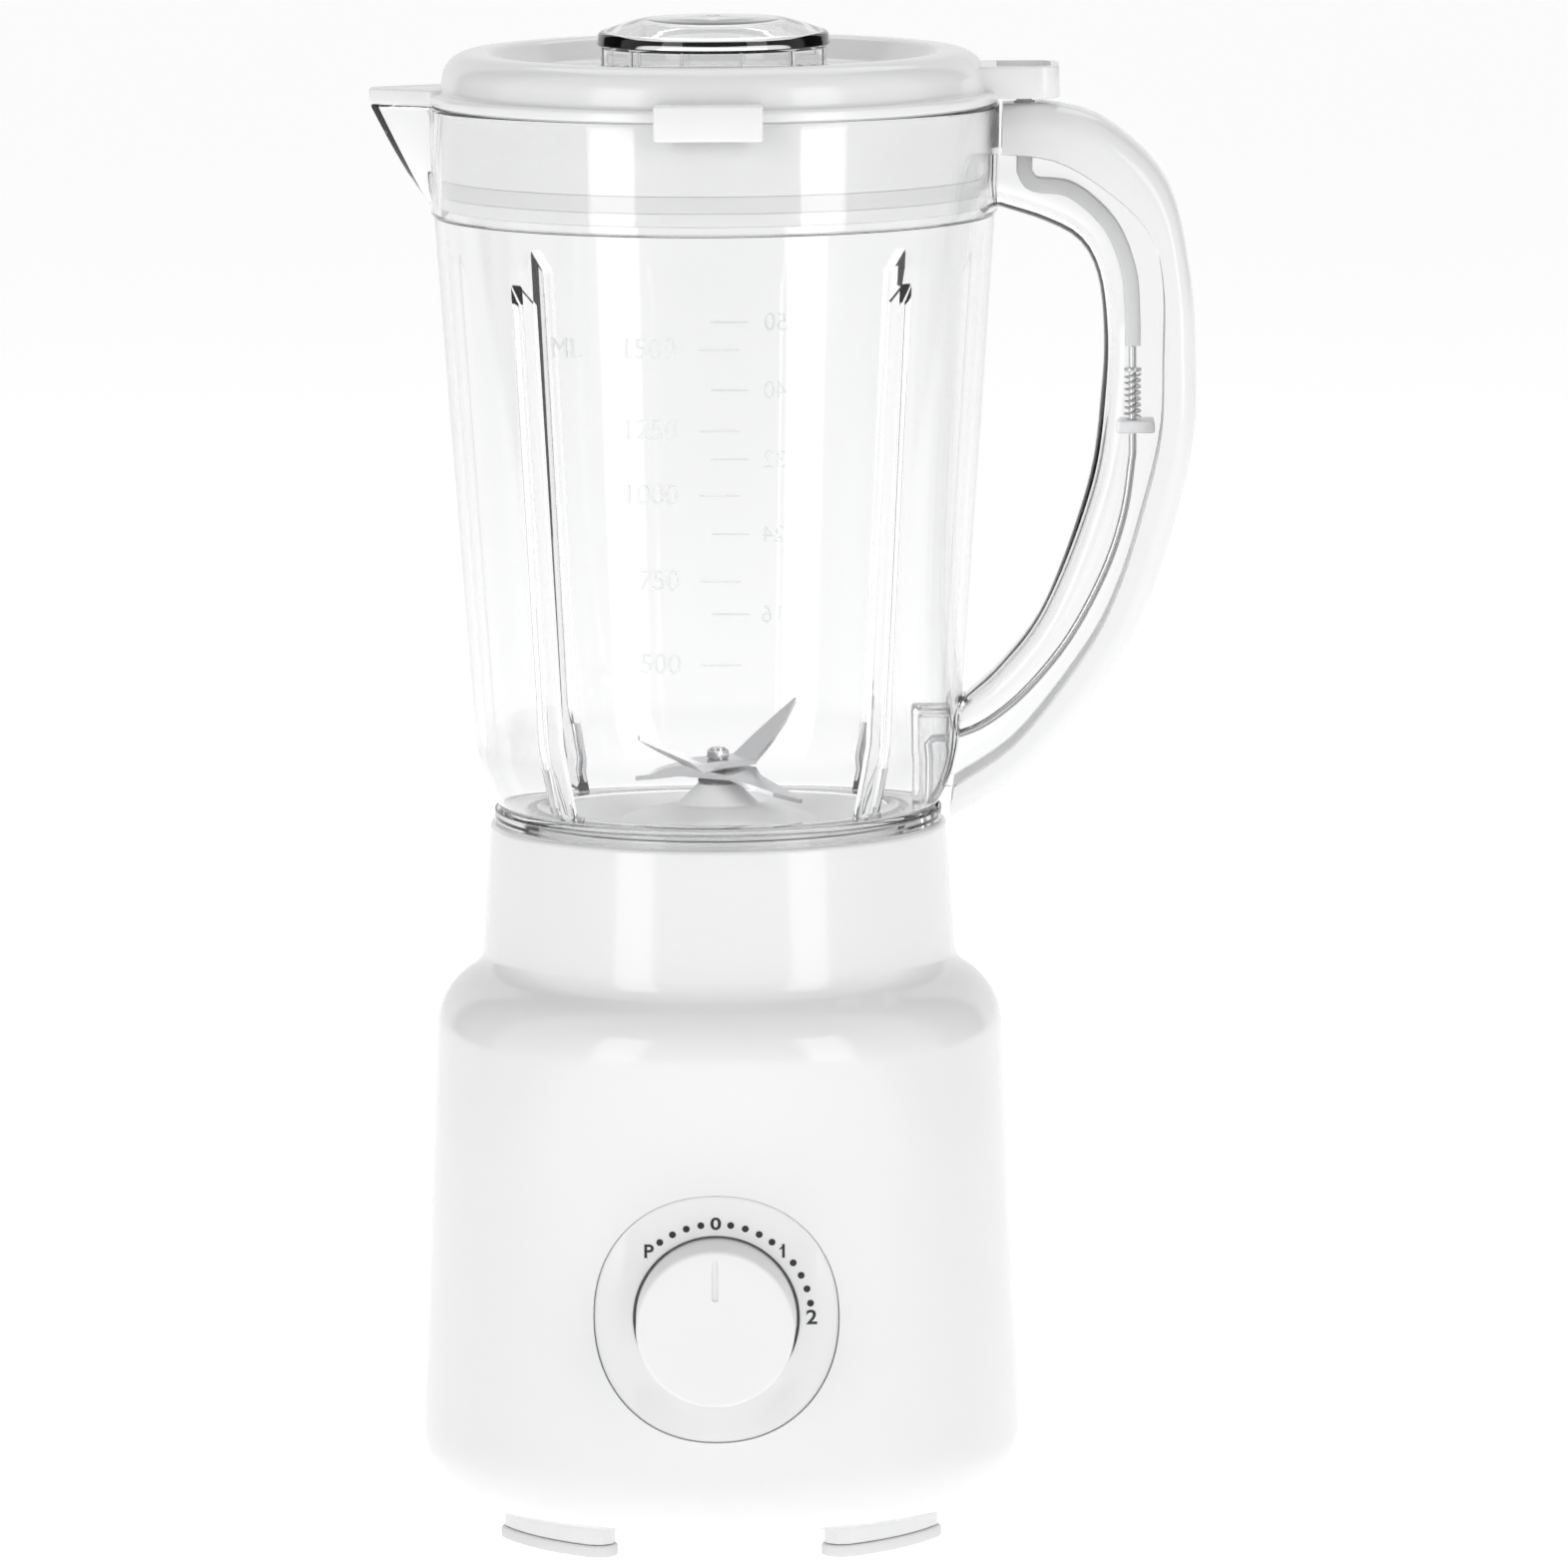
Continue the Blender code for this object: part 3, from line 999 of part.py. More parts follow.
# ---------------------------------------------------------------- blade unit
def make_blade_unit(frame, lift, white, rubber, steel, brass, dark):
    back = Matrix.Translation((0, 0, -SEAT))
    floor_top = SEAT + JAR_FLOOR_HEIGHT
    gasket_seat = floor_top - 1.8 - GAP - 1.6 - GAP
    step = LIP_RADIUS - GAP
    shaft_hole = SPINDLE_RADIUS + GAP
    hub = shaft_hole + BUSH_WALL + GAP
    inner = HOLDER_RADIUS - HOLDER_WALL
    rim = floor_top - 0.5
    dip = rim - HOLDER_DIP
    under = dip - HOLDER_WALL
    bush_top = SEAT + DOME_TOP + 1
    hub_low = SEAT + CONE_TOP - HOLDER_HUB_LENGTH
    holder_low = SEAT - SKIRT_LENGTH + 8
    profile = rounded_path([
        (shaft_hole, SEAT + CONE_TOP, 0), (CONE_TIP, SEAT + CONE_TOP, 0),
        (CONE_RADIUS, SEAT + DOME_TOP + 0.4, 0),
        (CONE_RADIUS + 2.5, SEAT + DOME_TOP, 0), (DOME_RADIUS - 5, dip + 3, 8), (DOME_RADIUS, dip, 0),
        (step - 3, rim, 0), (step, rim, 0), (step, gasket_seat, 0), (HOLDER_RADIUS, gasket_seat, 0),
        (HOLDER_RADIUS, holder_low, 0), (inner, holder_low, 0), (inner, under, 0),
        (DOME_RADIUS - 3, under, 0), (hub + 3, SEAT + DOME_TOP - 4.4, 0),
        (hub + 3, hub_low, 0), (hub, hub_low, 0), (hub, bush_top + GAP, 0),
        (shaft_hole, bush_top + GAP, 0)], 2, closed=True)
    finish("blade_holder", lathe(profile, ROUND_SIDES), white, lift, back)
    seal = tube(step + GAP, HOLDER_RADIUS, gasket_seat + GAP, gasket_seat + GAP + 1.6, ROUND_SIDES)
    finish("holder_gasket", seal, rubber, lift, back)
    finish("spindle_bush", tube(shaft_hole, hub - GAP, hub_low + 0.5, bush_top, 16), brass, lift, back)

    spin = empty("blade_axis", (0, 0, SEAT), frame)
    washer = SEAT + CONE_TOP + GAP
    disc = tube(SPINDLE_RADIUS + GAP, WASHER_RADIUS, washer, washer + 1.1, 20)
    finish("blade_washer", disc, dark, spin, back)
    lower = washer + 1.1 + GAP
    upper = lower + BLADE_THICKNESS + GAP
    nut = upper + BLADE_THICKNESS + GAP
    make_blade("blade_lower", spin, steel, lower, -38, (-20, -8))
    make_blade("blade_upper", spin, steel, upper, 33, (38, 25))
    hexagon = [(NUT_RADIUS * math.cos(math.radians(60 * i)), NUT_RADIUS * math.sin(math.radians(60 * i)))
               for i in range(6)]
    nut_object = finish("blade_nut", prism(hexagon, nut, nut + 1.9), steel, spin, back)
    cut(nut_object, finish("nut_bore", rod(SPINDLE_THREAD + GAP, nut - 2, nut + 4, 16), None, spin, back))
    socket_top = STAR_TOP + GAP
    foot = socket_top + 2.0
    coupling_top = min(foot + 5.0, hub_low - 1.0)
    finish("spindle", lathe([(0, foot + GAP), (SPINDLE_RADIUS, foot + GAP), (SPINDLE_RADIUS, lower - GAP),
                             (SPINDLE_THREAD, lower - GAP), (SPINDLE_THREAD, nut + 2.5), (0, nut + 2.5)], 16),
           steel, spin, back)
    disc = rod(COUPLING_DISC - 1, STAR_BASE + 1.0, coupling_top, 24)
    coupling = finish("driven_coupling", disc, dark, spin, back)
    cut(coupling, finish("driven_socket", prism(star(0.35), STAR_BASE - 2, socket_top), None, spin, back))
    bore = rod(SPINDLE_RADIUS + GAP, foot, coupling_top + 3, 16)
    cut(coupling, finish("driven_bore", bore, None, spin, back))
    return spin


def make_blade(name, spin, steel, low, azimuth, rises):
    """A strip with a centre hole and two pointed wings, each bent at its root."""
    bm = bmesh.new()
    half = BLADE_WIDTH / 2
    tip = 1.0
    wings = [(BLADE_REACH, rises[0], 1), (BLADE_REACH, rises[1], -1)]
    rows = []
    for reach, rise, side in wings:
        span = reach - BLADE_ROOT
        lift = math.tan(math.radians(rise))
        row = [(BLADE_ROOT, -half, half, 0.0),
               (BLADE_ROOT + span * 0.5, -half * 0.62, half * 0.8, span * 0.5 * lift),
               (reach, half * 0.35, half * 0.35 + tip, span * lift)]
        rows.append([(side * x, side * y0, side * y1, z) for x, y0, y1, z in row])
    line = rows[1][::-1] + rows[0]
    for shift in (0.0, BLADE_THICKNESS):
        for x, y0, y1, z in line:
            bm.verts.new((x, y0, low + z + shift))
            bm.verts.new((x, y1, low + z + shift))
    bm.verts.ensure_lookup_table()
    count = len(line)

    def vert(layer, station, side):
        return bm.verts[layer * 2 * count + station * 2 + side]

    for station in range(count - 1):
        flip = (line[station][1] > line[station][2]) != (line[station + 1][1] > line[station + 1][2])
        a, b = (1, 0) if flip else (0, 1)
        for layer in (0, 1):
            bm.faces.new((vert(layer, station, 0), vert(layer, station, 1),
                          vert(layer, station + 1, b), vert(layer, station + 1, a)))
        for edge, ahead in ((0, a), (1, b)):
            bm.faces.new((vert(0, station, edge), vert(0, station + 1, ahead),
                          vert(1, station + 1, ahead), vert(1, station, edge)))
    for station in (0, count - 1):
        bm.faces.new((vert(0, station, 0), vert(0, station, 1), vert(1, station, 1), vert(1, station, 0)))
    back = Matrix.Translation((0, 0, -SEAT))
    turn = back @ Matrix.Rotation(math.radians(azimuth), 4, "Z")
    blade = finish(name, bm, steel, spin, turn)
    cut(blade, finish(f"{name}_bore", rod(SPINDLE_THREAD + GAP, low - 2, low + 4, 16), None, spin, back))


# ---------------------------------------------------------------- lid and cup
def make_lid(frame, white, rubber):
    lift = empty("lid_lift_axis", (0, 0, RIM), frame)
    back = Matrix.Translation((0, 0, -RIM))
    fit = JAR_TOP_RADIUS - JAR_WALL - GAP
    lean = (JAR_TOP_RADIUS - JAR_STEP_RADIUS - JAR_STEP) / (JAR_HEIGHT - JAR_STEP_HEIGHT - 1.5)
    groove = RIM - 18

    def skirt(z):
        return fit - lean * (RIM - z)

    groove_low, skirt_low = groove - 4.2, RIM - LID_SKIRT
    seal = skirt(groove) - 1.1
    crest, floor = RIM + LID_CREST, RIM + LID_FLOOR
    shoulder = LID_CREST_RADIUS + 10.8
    outer = [
        (CUP_HOLE, floor, 0), (LID_DISH_RADIUS, floor, 4), (LID_CREST_RADIUS, crest, 3),
        (shoulder, crest, 7), (fit - 0.2, RIM + LID_FLANGE, 0), (JAR_TOP_RADIUS - 0.3, RIM + LID_FLANGE, 0),
        (JAR_TOP_RADIUS - 0.3, RIM + GAP, 0), (fit, RIM + GAP, 0), (skirt(groove), groove, 0),
        (seal, groove, 0), (seal, groove_low, 0), (skirt(groove_low), groove_low, 0),
        (skirt(skirt_low), skirt_low, 0), (skirt(skirt_low) - 2.3, skirt_low, 0),
        (fit - LID_WALL, RIM + LID_FLANGE, 0), (shoulder - 5, crest - LID_WALL, 0),
        (LID_CREST_RADIUS + 1.4, crest - LID_WALL, 0), (LID_DISH_RADIUS + 1.5, floor - LID_WALL, 0),
        (CUP_HOLE + LID_WALL, floor - LID_WALL, 0), (CUP_HOLE + LID_WALL, floor - 12, 0),
        (CUP_HOLE, floor - 12, 0)]
    lid = finish("lid", lathe(rounded_path(outer, 2, closed=True), ROUND_SIDES), white, lift, back)

    lip_half = 10.5
    root, neck = -(JAR_TOP_RADIUS - 6.3), -(JAR_TOP_RADIUS - 0.8)
    lip = rounded_path([(root, -lip_half, 0), (neck, -lip_half, 3), (-LID_LIP_TIP, -2.6, 1.6),
                        (-LID_LIP_TIP, 2.6, 1.6), (neck, lip_half, 3), (root, lip_half, 0)], 3)
    join(lid, finish("lid_lip", prism(lip, RIM + GAP, RIM + 4.2), None, lift, back))

    half = LID_TAB_WIDTH / 2
    hang = JAR_TOP_RADIUS + 0.6
    for side, name in ((-1, "front"), (1, "rear")):
        low, near, far = RIM - LID_TAB_DROP, side * (hang - 6), side * LID_TAB_DEPTH
        hook = [(near, RIM + 1), (side * hang, RIM + 1), (side * hang, low),
                (far, low), (far, RIM + 5), (near, RIM + 5)]
        join(lid, finish(f"lid_tab_{name}", prism(hook, -half, half, "yz"), None, lift, back))

    def tray(inset, low, high, inner_x):
        reach, width = TRAY_REACH - inset, TRAY_HALF_WIDTH - inset
        shape = rounded_path([(inner_x, -width, 0), (reach, -width, 6 - inset), (reach, width, 6 - inset),
                              (inner_x, width, 0)], 4)
        return prism(shape, low, high)

    block = tray(0, RIM + TRAY_BOTTOM, RIM + TRAY_TOP, JAR_TOP_RADIUS - 5.8)
    join(lid, finish("lid_tray", block, None, lift, back))
    room = tray(2.2, RIM + TRAY_BOTTOM + 1.8, RIM + TRAY_TOP + 4, JAR_TOP_RADIUS - 0.8)
    cut(lid, finish("tray_room", room, None, lift, back))
    tongue = box(ROD_X - 2, ROD_X + 2, -2, 2, RIM - TONGUE_DROP, RIM + TRAY_BOTTOM + 1)
    join(lid, finish("lid_tongue", tongue, None, lift, back))

    ring = tube(seal + GAP, skirt(groove_low) + 0.05, groove_low + GAP, groove - GAP, ROUND_SIDES)
    finish("lid_gasket", ring, rubber, lift, back)
    return lift


def make_cup(frame, clear):
    lift = empty("cup_lift_axis", (0, 0, RIM), frame)
    back = Matrix.Translation((0, 0, -RIM))
    rest = RIM + LID_FLOOR + GAP
    top = RIM + CUP_TOP
    low = rest - CUP_DEPTH
    tube_outer = CUP_HOLE - 0.4
    profile = rounded_path([
        (0, top, 0), (19, top - 0.7, 0), (CUP_DISC_RADIUS - 0.6, top - 4.0, 1.5),
        (CUP_DISC_RADIUS - 0.2, RIM + CUP_DISC_Z, 0), (CUP_NECK_RADIUS, RIM + CUP_DISC_Z - 0.8, 0),
        (CUP_NECK_RADIUS, rest, 0), (tube_outer, rest, 0), (tube_outer - 0.5, low, 0),
        (tube_outer - 0.5 - CUP_WALL, low, 0), (tube_outer - CUP_WALL, rest - 1, 0),
        (CUP_NECK_RADIUS - CUP_WALL, rest + 2, 0), (CUP_NECK_RADIUS - CUP_WALL, RIM + CUP_DISC_Z - 0.5, 0),
        (18, top - 3.2, 0), (0, top - 2.6, 0)], 2)
    finish("measuring_cup", lathe(profile, ROUND_SIDES), clear, lift, back)


def main():
    clear_scene()
    gloss = material("gloss_white_plastic", (0.86, 0.86, 0.86), 0.18)
    satin = material("satin_white_plastic", (0.84, 0.84, 0.84), 0.38)
    clear = material("clear_plastic", (0.95, 0.96, 0.96), 0.04, transmission=1.0)
    rubber = material("grey_rubber", (0.55, 0.55, 0.55), 0.8)
    dark = material("dark_plastic", (0.05, 0.05, 0.055), 0.5)
    stainless = material("stainless_steel", (0.62, 0.62, 0.62), 0.3, 1.0)
    brass = material("brass", (0.72, 0.55, 0.25), 0.35, 1.0)
    metal = {"steel": stainless, "dark": dark,
             "alloy": material("cast_alloy", (0.6, 0.61, 0.62), 0.45, 1.0),
             "iron": material("laminated_iron", (0.3, 0.3, 0.31), 0.5, 1.0),
             "copper": material("copper_wire", (0.72, 0.35, 0.18), 0.35, 1.0),
             "carbon": material("carbon", (0.03, 0.03, 0.03), 0.7)}

    left, right = -LID_LIP_TIP, max(x for x, _ in handle_line(BACK_LINE))
    frame = empty("blender_frame", (-(left + right) / 2, -(KNOB_FACE_Y + GLAND_END_Y) / 2, 0))
    make_housing(frame, gloss)
    make_bottom(frame, satin, rubber, stainless)
    make_gland(frame, dark)
    make_controls(frame, gloss, dark, brass)
    make_motor(frame, metal)
    make_microswitch(frame, dark)
    lift = make_jar(frame, clear, satin)
    make_interlock(frame, lift, satin, stainless)
    make_blade_unit(frame, lift, satin, rubber, stainless, brass, dark)
    make_lid(frame, satin, rubber)
    make_cup(frame, clear)


main()
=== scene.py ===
"""Countertop blender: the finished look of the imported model.

Shapes are drawn in millimetres around the motor's axis, with the worktop at z = 0, the
speed knob towards -Y and the jar's handle towards +X. make_piece() turns them into metres
and moves them to where the motor shaft stands in the frame.
"""
import math

import bmesh
import bpy
from mathutils import Matrix, Vector


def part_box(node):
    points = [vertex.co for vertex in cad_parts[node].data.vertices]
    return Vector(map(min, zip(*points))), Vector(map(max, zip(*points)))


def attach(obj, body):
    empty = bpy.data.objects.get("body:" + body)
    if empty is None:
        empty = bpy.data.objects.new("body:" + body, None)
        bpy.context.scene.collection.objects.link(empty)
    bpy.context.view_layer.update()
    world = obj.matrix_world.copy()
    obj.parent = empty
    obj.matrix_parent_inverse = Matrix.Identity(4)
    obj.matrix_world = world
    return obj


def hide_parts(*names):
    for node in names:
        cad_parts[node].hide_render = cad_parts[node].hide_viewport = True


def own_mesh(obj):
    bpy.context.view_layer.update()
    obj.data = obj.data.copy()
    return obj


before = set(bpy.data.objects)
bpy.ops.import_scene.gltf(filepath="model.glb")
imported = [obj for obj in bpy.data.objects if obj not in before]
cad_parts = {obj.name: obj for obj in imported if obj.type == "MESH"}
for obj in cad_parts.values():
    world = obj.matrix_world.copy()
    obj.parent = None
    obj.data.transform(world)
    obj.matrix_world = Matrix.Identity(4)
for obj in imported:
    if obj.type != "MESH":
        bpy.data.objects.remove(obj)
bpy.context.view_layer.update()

MM = 0.001
shaft_low, shaft_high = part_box("motor_shaft")
AXIS = Vector(((shaft_low[0] + shaft_high[0]) / 2, (shaft_low[1] + shaft_high[1]) / 2, 0))

# Heights and radii that several pieces share.
BASE_HALF_WIDTH = 77.8
BASE_LEAN = 0.045
BASE_BOTTOM = 8.5
DEPTH_SHARE = 146.2 / 155.6
SQUARENESS = 2.3
SHOULDER_Z = 137.7
COLLAR_TOP = 182.0
COLLAR_RADIUS = 58.1
WELL_FLOOR = 156.0
SEAT = 182.3
RIM = 365.0
JAR_WALL = 2.5
KNOB_Z = 65.5
KNOB_RADIUS = 20.2
PANEL_HOLE = 20.9
PANEL_HALF_WIDTH = 30.75
PANEL_HALF_HEIGHT = 31.15
PANEL_SQUARENESS = 2.15
PANEL_DISH = 2.2
PANEL_RECESS = 0.6
PANEL_RETURN = 2.4
RIB_HALF_THICKNESS = 2
RIB_ROUNDING = 0.7
GROOVE_HALF_WIDTH = 0.85
GROOVE_DEPTH = 0.6


# ---------------------------------------------------------------- curves and profiles
def rounded_path(corners, steps=8, closed=False):
    """Turn (a, b, radius) corners into points, with an arc at each rounded corner."""
    count = len(corners)
    points = []
    for index, (a, b, radius) in enumerate(corners):
        at = Vector((a, b))
        if radius == 0 or (not closed and index in (0, count - 1)):
            points.append((a, b))
            continue
        back = (Vector(corners[index - 1][:2]) - at).normalized()
        ahead = (Vector(corners[(index + 1) % count][:2]) - at).normalized()
        half = back.angle(ahead) / 2
        centre = at + (back + ahead).normalized() * radius / math.sin(half)
        start = at + back * radius / math.tan(half) - centre
        end = at + ahead * radius / math.tan(half) - centre
        first = math.atan2(start.y, start.x)
        sweep = math.atan2(end.y, end.x) - first
        sweep = (sweep + math.pi) % (2 * math.pi) - math.pi
        for step in range(steps + 1):
            angle = first + sweep * step / steps
            points.append((centre.x + radius * math.cos(angle), centre.y + radius * math.sin(angle)))
    return points


def filled_in(points, longest):
    """The same path with extra points, so that no stretch is longer than longest."""
    path = [points[0]]
    for (a0, b0), (a1, b1) in zip(points, points[1:]):
        pieces = max(1, math.ceil(math.hypot(a1 - a0, b1 - b0) / longest))
        path += [(a0 + (a1 - a0) * i / pieces, b0 + (b1 - b0) * i / pieces) for i in range(1, pieces + 1)]
    return path


def even_curve(knots, count):
    """Points at equal distances along a smooth curve through the knots."""
    ends = [2 * Vector(knots[0]) - Vector(knots[1])]
    ends += [Vector(knot) for knot in knots]
    ends.append(2 * Vector(knots[-1]) - Vector(knots[-2]))
    fine = []
    for before, start, end, after in zip(ends, ends[1:], ends[2:], ends[3:]):
        for step in range(24):
            t = step / 24
            fine.append(0.5 * (2 * start + (end - before) * t
                               + (2 * before - 5 * start + 4 * end - after) * t * t
                               + (3 * start - before - 3 * end + after) * t ** 3))
    fine.append(ends[-2])
    lengths = [0.0]
    for start, end in zip(fine, fine[1:]):
        lengths.append(lengths[-1] + (end - start).length)
    points = []
    index = 0
    for station in range(count):
        wanted = lengths[-1] * station / (count - 1)
        while index < len(fine) - 2 and lengths[index + 1] < wanted:
            index += 1
        part = (wanted - lengths[index]) / (lengths[index + 1] - lengths[index])
        points.append(fine[index].lerp(fine[index + 1], part))
    return points


# ---------------------------------------------------------------- mesh helpers
def outline(bm, points):
    """Vertices at the points, joined in a row by edges."""
    verts = [bm.verts.new(point) for point in points]
    edges = [bm.edges.new(pair) for pair in zip(verts, verts[1:])]
    return verts, edges


def turned(profile, steps=128, loop=False):
    """A (radius, z) profile spun round the axis."""
    bm = bmesh.new()
    verts, edges = outline(bm, [(radius, 0, z) for radius, z in profile])
    if loop:
        edges.append(bm.edges.new((verts[-1], verts[0])))
    bmesh.ops.spin(bm, geom=verts + edges, cent=(0, 0, 0), axis=(0, 0, 1),
                   angle=2 * math.pi, steps=steps, use_merge=True)
    return bm


def plate(points, low, high, plane="xy"):
    """A flat outline extruded from low to high; it is drawn in plane xy, xz or yz."""
    def place(a, b, c):
        return {"xy": (a, b, c), "xz": (a, c, b), "yz": (c, a, b)}[plane]
    bm = bmesh.new()
    base = bm.faces.new([bm.verts.new(place(a, b, low)) for a, b in points])
    made = bmesh.ops.extrude_face_region(bm, geom=[base])
    lifted = [item for item in made["geom"] if isinstance(item, bmesh.types.BMVert)]
    bmesh.ops.translate(bm, verts=lifted, vec=place(0, 0, high - low))
    return bm


def block(x0, x1, y0, y1, z0, z1):
    bm = bmesh.new()
    bmesh.ops.create_cube(bm, size=1.0)
    bmesh.ops.scale(bm, vec=(x1 - x0, y1 - y0, z1 - z0), verts=bm.verts)
    bmesh.ops.translate(bm, vec=((x0 + x1) / 2, (y0 + y1) / 2, (z0 + z1) / 2), verts=bm.verts)
    return bm


def drum(radius, low, high, segments=32):
    bm = bmesh.new()
    bmesh.ops.create_cone(bm, cap_ends=True, segments=segments,
                          radius1=radius, radius2=radius, depth=high - low)
    bmesh.ops.translate(bm, vec=(0, 0, (low + high) / 2), verts=bm.verts)
    return bm


def softened(bm, width, segments=3, least=25):
    """Round the edges that turn by more than least degrees."""
    bmesh.ops.recalc_face_normals(bm, faces=bm.faces)
    sharp = [edge for edge in bm.edges
             if len(edge.link_faces) == 2 and edge.calc_face_angle(0) > math.radians(least)]
    bmesh.ops.bevel(bm, geom=sharp, offset=width, offset_type="OFFSET", affect="EDGES", segments=segments,
                    profile=0.5, material=-1, clamp_overlap=True)
    return bm


def drawn_along(sections, capped=True):
    """A closed section, extruded from station to station."""
    bm = bmesh.new()
    verts, edges = outline(bm, sections[0])
    edges.append(bm.edges.new((verts[-1], verts[0])))
    if capped:
        bm.faces.new(verts)
    ring, ring_edges = verts, edges
    for section in sections[1:]:
        made = bmesh.ops.extrude_edge_only(bm, edges=ring_edges)
        ring = [item for item in made["geom"] if isinstance(item, bmesh.types.BMVert)]
        ring_edges = [item for item in made["geom"] if isinstance(item, bmesh.types.BMEdge)
                      and item.verts[0] in ring and item.verts[1] in ring]
        for vert, place in zip(ring, section):
            vert.co = place
    if capped:
        bm.faces.new(ring)
    return bm


def shifted(bm, x=0.0, y=0.0, z=0.0):
    bmesh.ops.translate(bm, verts=bm.verts, vec=(x, y, z))
    return bm


def swung(bm, degrees, axis="Z", centre=(0, 0, 0)):
    bmesh.ops.rotate(bm, cent=centre, verts=bm.verts, matrix=Matrix.Rotation(math.radians(degrees), 3, axis))
    return bm


def gathered(parts):
    """Several meshes in one."""
    whole = bmesh.new()
    for part in parts:
        bmesh.ops.recalc_face_normals(part, faces=part.faces)
        carrier = bpy.data.meshes.new("carrier")
        part.to_mesh(carrier)
        part.free()
        whole.from_mesh(carrier)
        bpy.data.meshes.remove(carrier)
    return whole


def bare_object(name, bm):
    bmesh.ops.remove_doubles(bm, verts=bm.verts, dist=1e-4)
    bmesh.ops.recalc_face_normals(bm, faces=bm.faces)
    bmesh.ops.scale(bm, vec=(MM, MM, MM), verts=bm.verts)
    bmesh.ops.translate(bm, vec=AXIS, verts=bm.verts)
    mesh = bpy.data.meshes.new(name)
    bm.to_mesh(mesh)
    bm.free()
    made = bpy.data.objects.new(name, mesh)
    bpy.context.scene.collection.objects.link(made)
    return made


def combined(target, tools):
    """Apply (operation, tool) pairs to the target and drop the tools."""
    for operation, tool in tools:
        modifier = target.modifiers.new(tool.name, "BOOLEAN")
        modifier.operation = operation
        modifier.solver = "EXACT"
        modifier.object = tool
    graph = bpy.context.evaluated_depsgraph_get()
    result = bpy.data.meshes.new_from_object(target.evaluated_get(graph))
    target.modifiers.clear()
    spare = target.data
    target.data = result
    bpy.data.meshes.remove(spare)
    for _, tool in tools:
        bpy.data.objects.remove(tool, do_unlink=True)
    return target


def make_piece(name, shape, surface, body, nodes=(), sharp=35, tools=()):
    """Finish a shape as an object of the blender that rides on a body."""
    made = bare_object(name, shape)
    if tools:
        combined(made, tools)
    mesh = made.data
    mesh.name = name
    mesh.shade_smooth()
    mesh.set_sharp_from_angle(angle=math.radians(sharp))
    mesh.materials.clear()
    mesh.materials.append(surface)
    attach(made, body)
    if nodes:
        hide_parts(*nodes)
    made.visible_shadow = surface not in (clear, frosted)
    return made


# ---------------------------------------------------------------- surfaces
def surface(name, colour, roughness, metallic=0.0, grain=300.0, spread=0.06, bump=0.02, shade=0.02,
            **shader_values):
    """A finish with a fine grain in its colour, roughness and relief."""
    made = bpy.data.materials.new(name)
    made.use_nodes = True
    nodes, links = made.node_tree.nodes, made.node_tree.links
    shader = nodes["Principled BSDF"]
    shader.inputs["Metallic"].default_value = metallic
    for socket, value in shader_values.items():
        shader.inputs[socket.replace("_", " ")].default_value = value
    place = nodes.new("ShaderNodeTexCoord")
    grain_noise = nodes.new("ShaderNodeTexNoise")
    grain_noise.inputs["Scale"].default_value = grain
    grain_noise.inputs["Detail"].default_value = 3.0
    links.new(place.outputs["Object"], grain_noise.inputs["Vector"])
    cloud = nodes.new("ShaderNodeTexNoise")
    cloud.inputs["Scale"].default_value = 18.0
    links.new(place.outputs["Object"], cloud.inputs["Vector"])
    tone = nodes.new("ShaderNodeValToRGB")
    tone.color_ramp.elements[0].position = 0.3
    tone.color_ramp.elements[0].color = (*[c * (1 - shade) for c in colour], 1)
    tone.color_ramp.elements[1].position = 0.7
    tone.color_ramp.elements[1].color = (*colour, 1)
    links.new(cloud.outputs["Fac"], tone.inputs["Fac"])
    links.new(tone.outputs["Color"], shader.inputs["Base Color"])
    sheen = nodes.new("ShaderNodeMapRange")
    sheen.inputs["To Min"].default_value = max(roughness - spread / 2, 0.0)
    sheen.inputs["To Max"].default_value = roughness + spread / 2
    links.new(cloud.outputs["Fac"], sheen.inputs["Value"])
    links.new(sheen.outputs["Result"], shader.inputs["Roughness"])
    relief = nodes.new("ShaderNodeBump")
    relief.inputs["Strength"].default_value = bump
    relief.inputs["Distance"].default_value = 0.0002
    links.new(grain_noise.outputs["Fac"], relief.inputs["Height"])
    links.new(relief.outputs["Normal"], shader.inputs["Normal"])
    return made


gloss_white = surface("gloss_white_abs", (0.86, 0.86, 0.865), 0.13,
                      spread=0.03, grain=120, bump=0.01, shade=0.01)
satin_white = surface("satin_white_abs", (0.84, 0.84, 0.845), 0.34, grain=900, bump=0.05, shade=0.015)
knob_white = surface("satin_knob_face", (0.86, 0.86, 0.86), 0.42, grain=1200, bump=0.05, shade=0.01)
clear = surface("clear_jar_plastic", (0.962, 0.963, 0.965), 0.015,
                spread=0.02, grain=60, bump=0.004, shade=0.004, Transmission_Weight=1.0, IOR=1.47)
frosted = surface("raised_clear_marks", (0.93, 0.94, 0.94), 0.28, spread=0.08, grain=900, bump=0.05,
                  Transmission_Weight=0.75, IOR=1.47)
print_black = surface("dial_print", (0.02, 0.02, 0.022), 0.42, grain=1500, bump=0.06, shade=0.2)
blade_steel = surface("ground_blade_steel", (0.62, 0.62, 0.63), 0.24, 1.0,
                      grain=700, spread=0.12, bump=0.08, shade=0.08)
bright_steel = surface("bright_steel", (0.66, 0.66, 0.67), 0.2, 1.0,
                       grain=500, spread=0.1, bump=0.04, shade=0.06)
pad_rubber = surface("grey_pad_rubber", (0.78, 0.78, 0.78), 0.72, grain=1600, bump=0.25, shade=0.08)
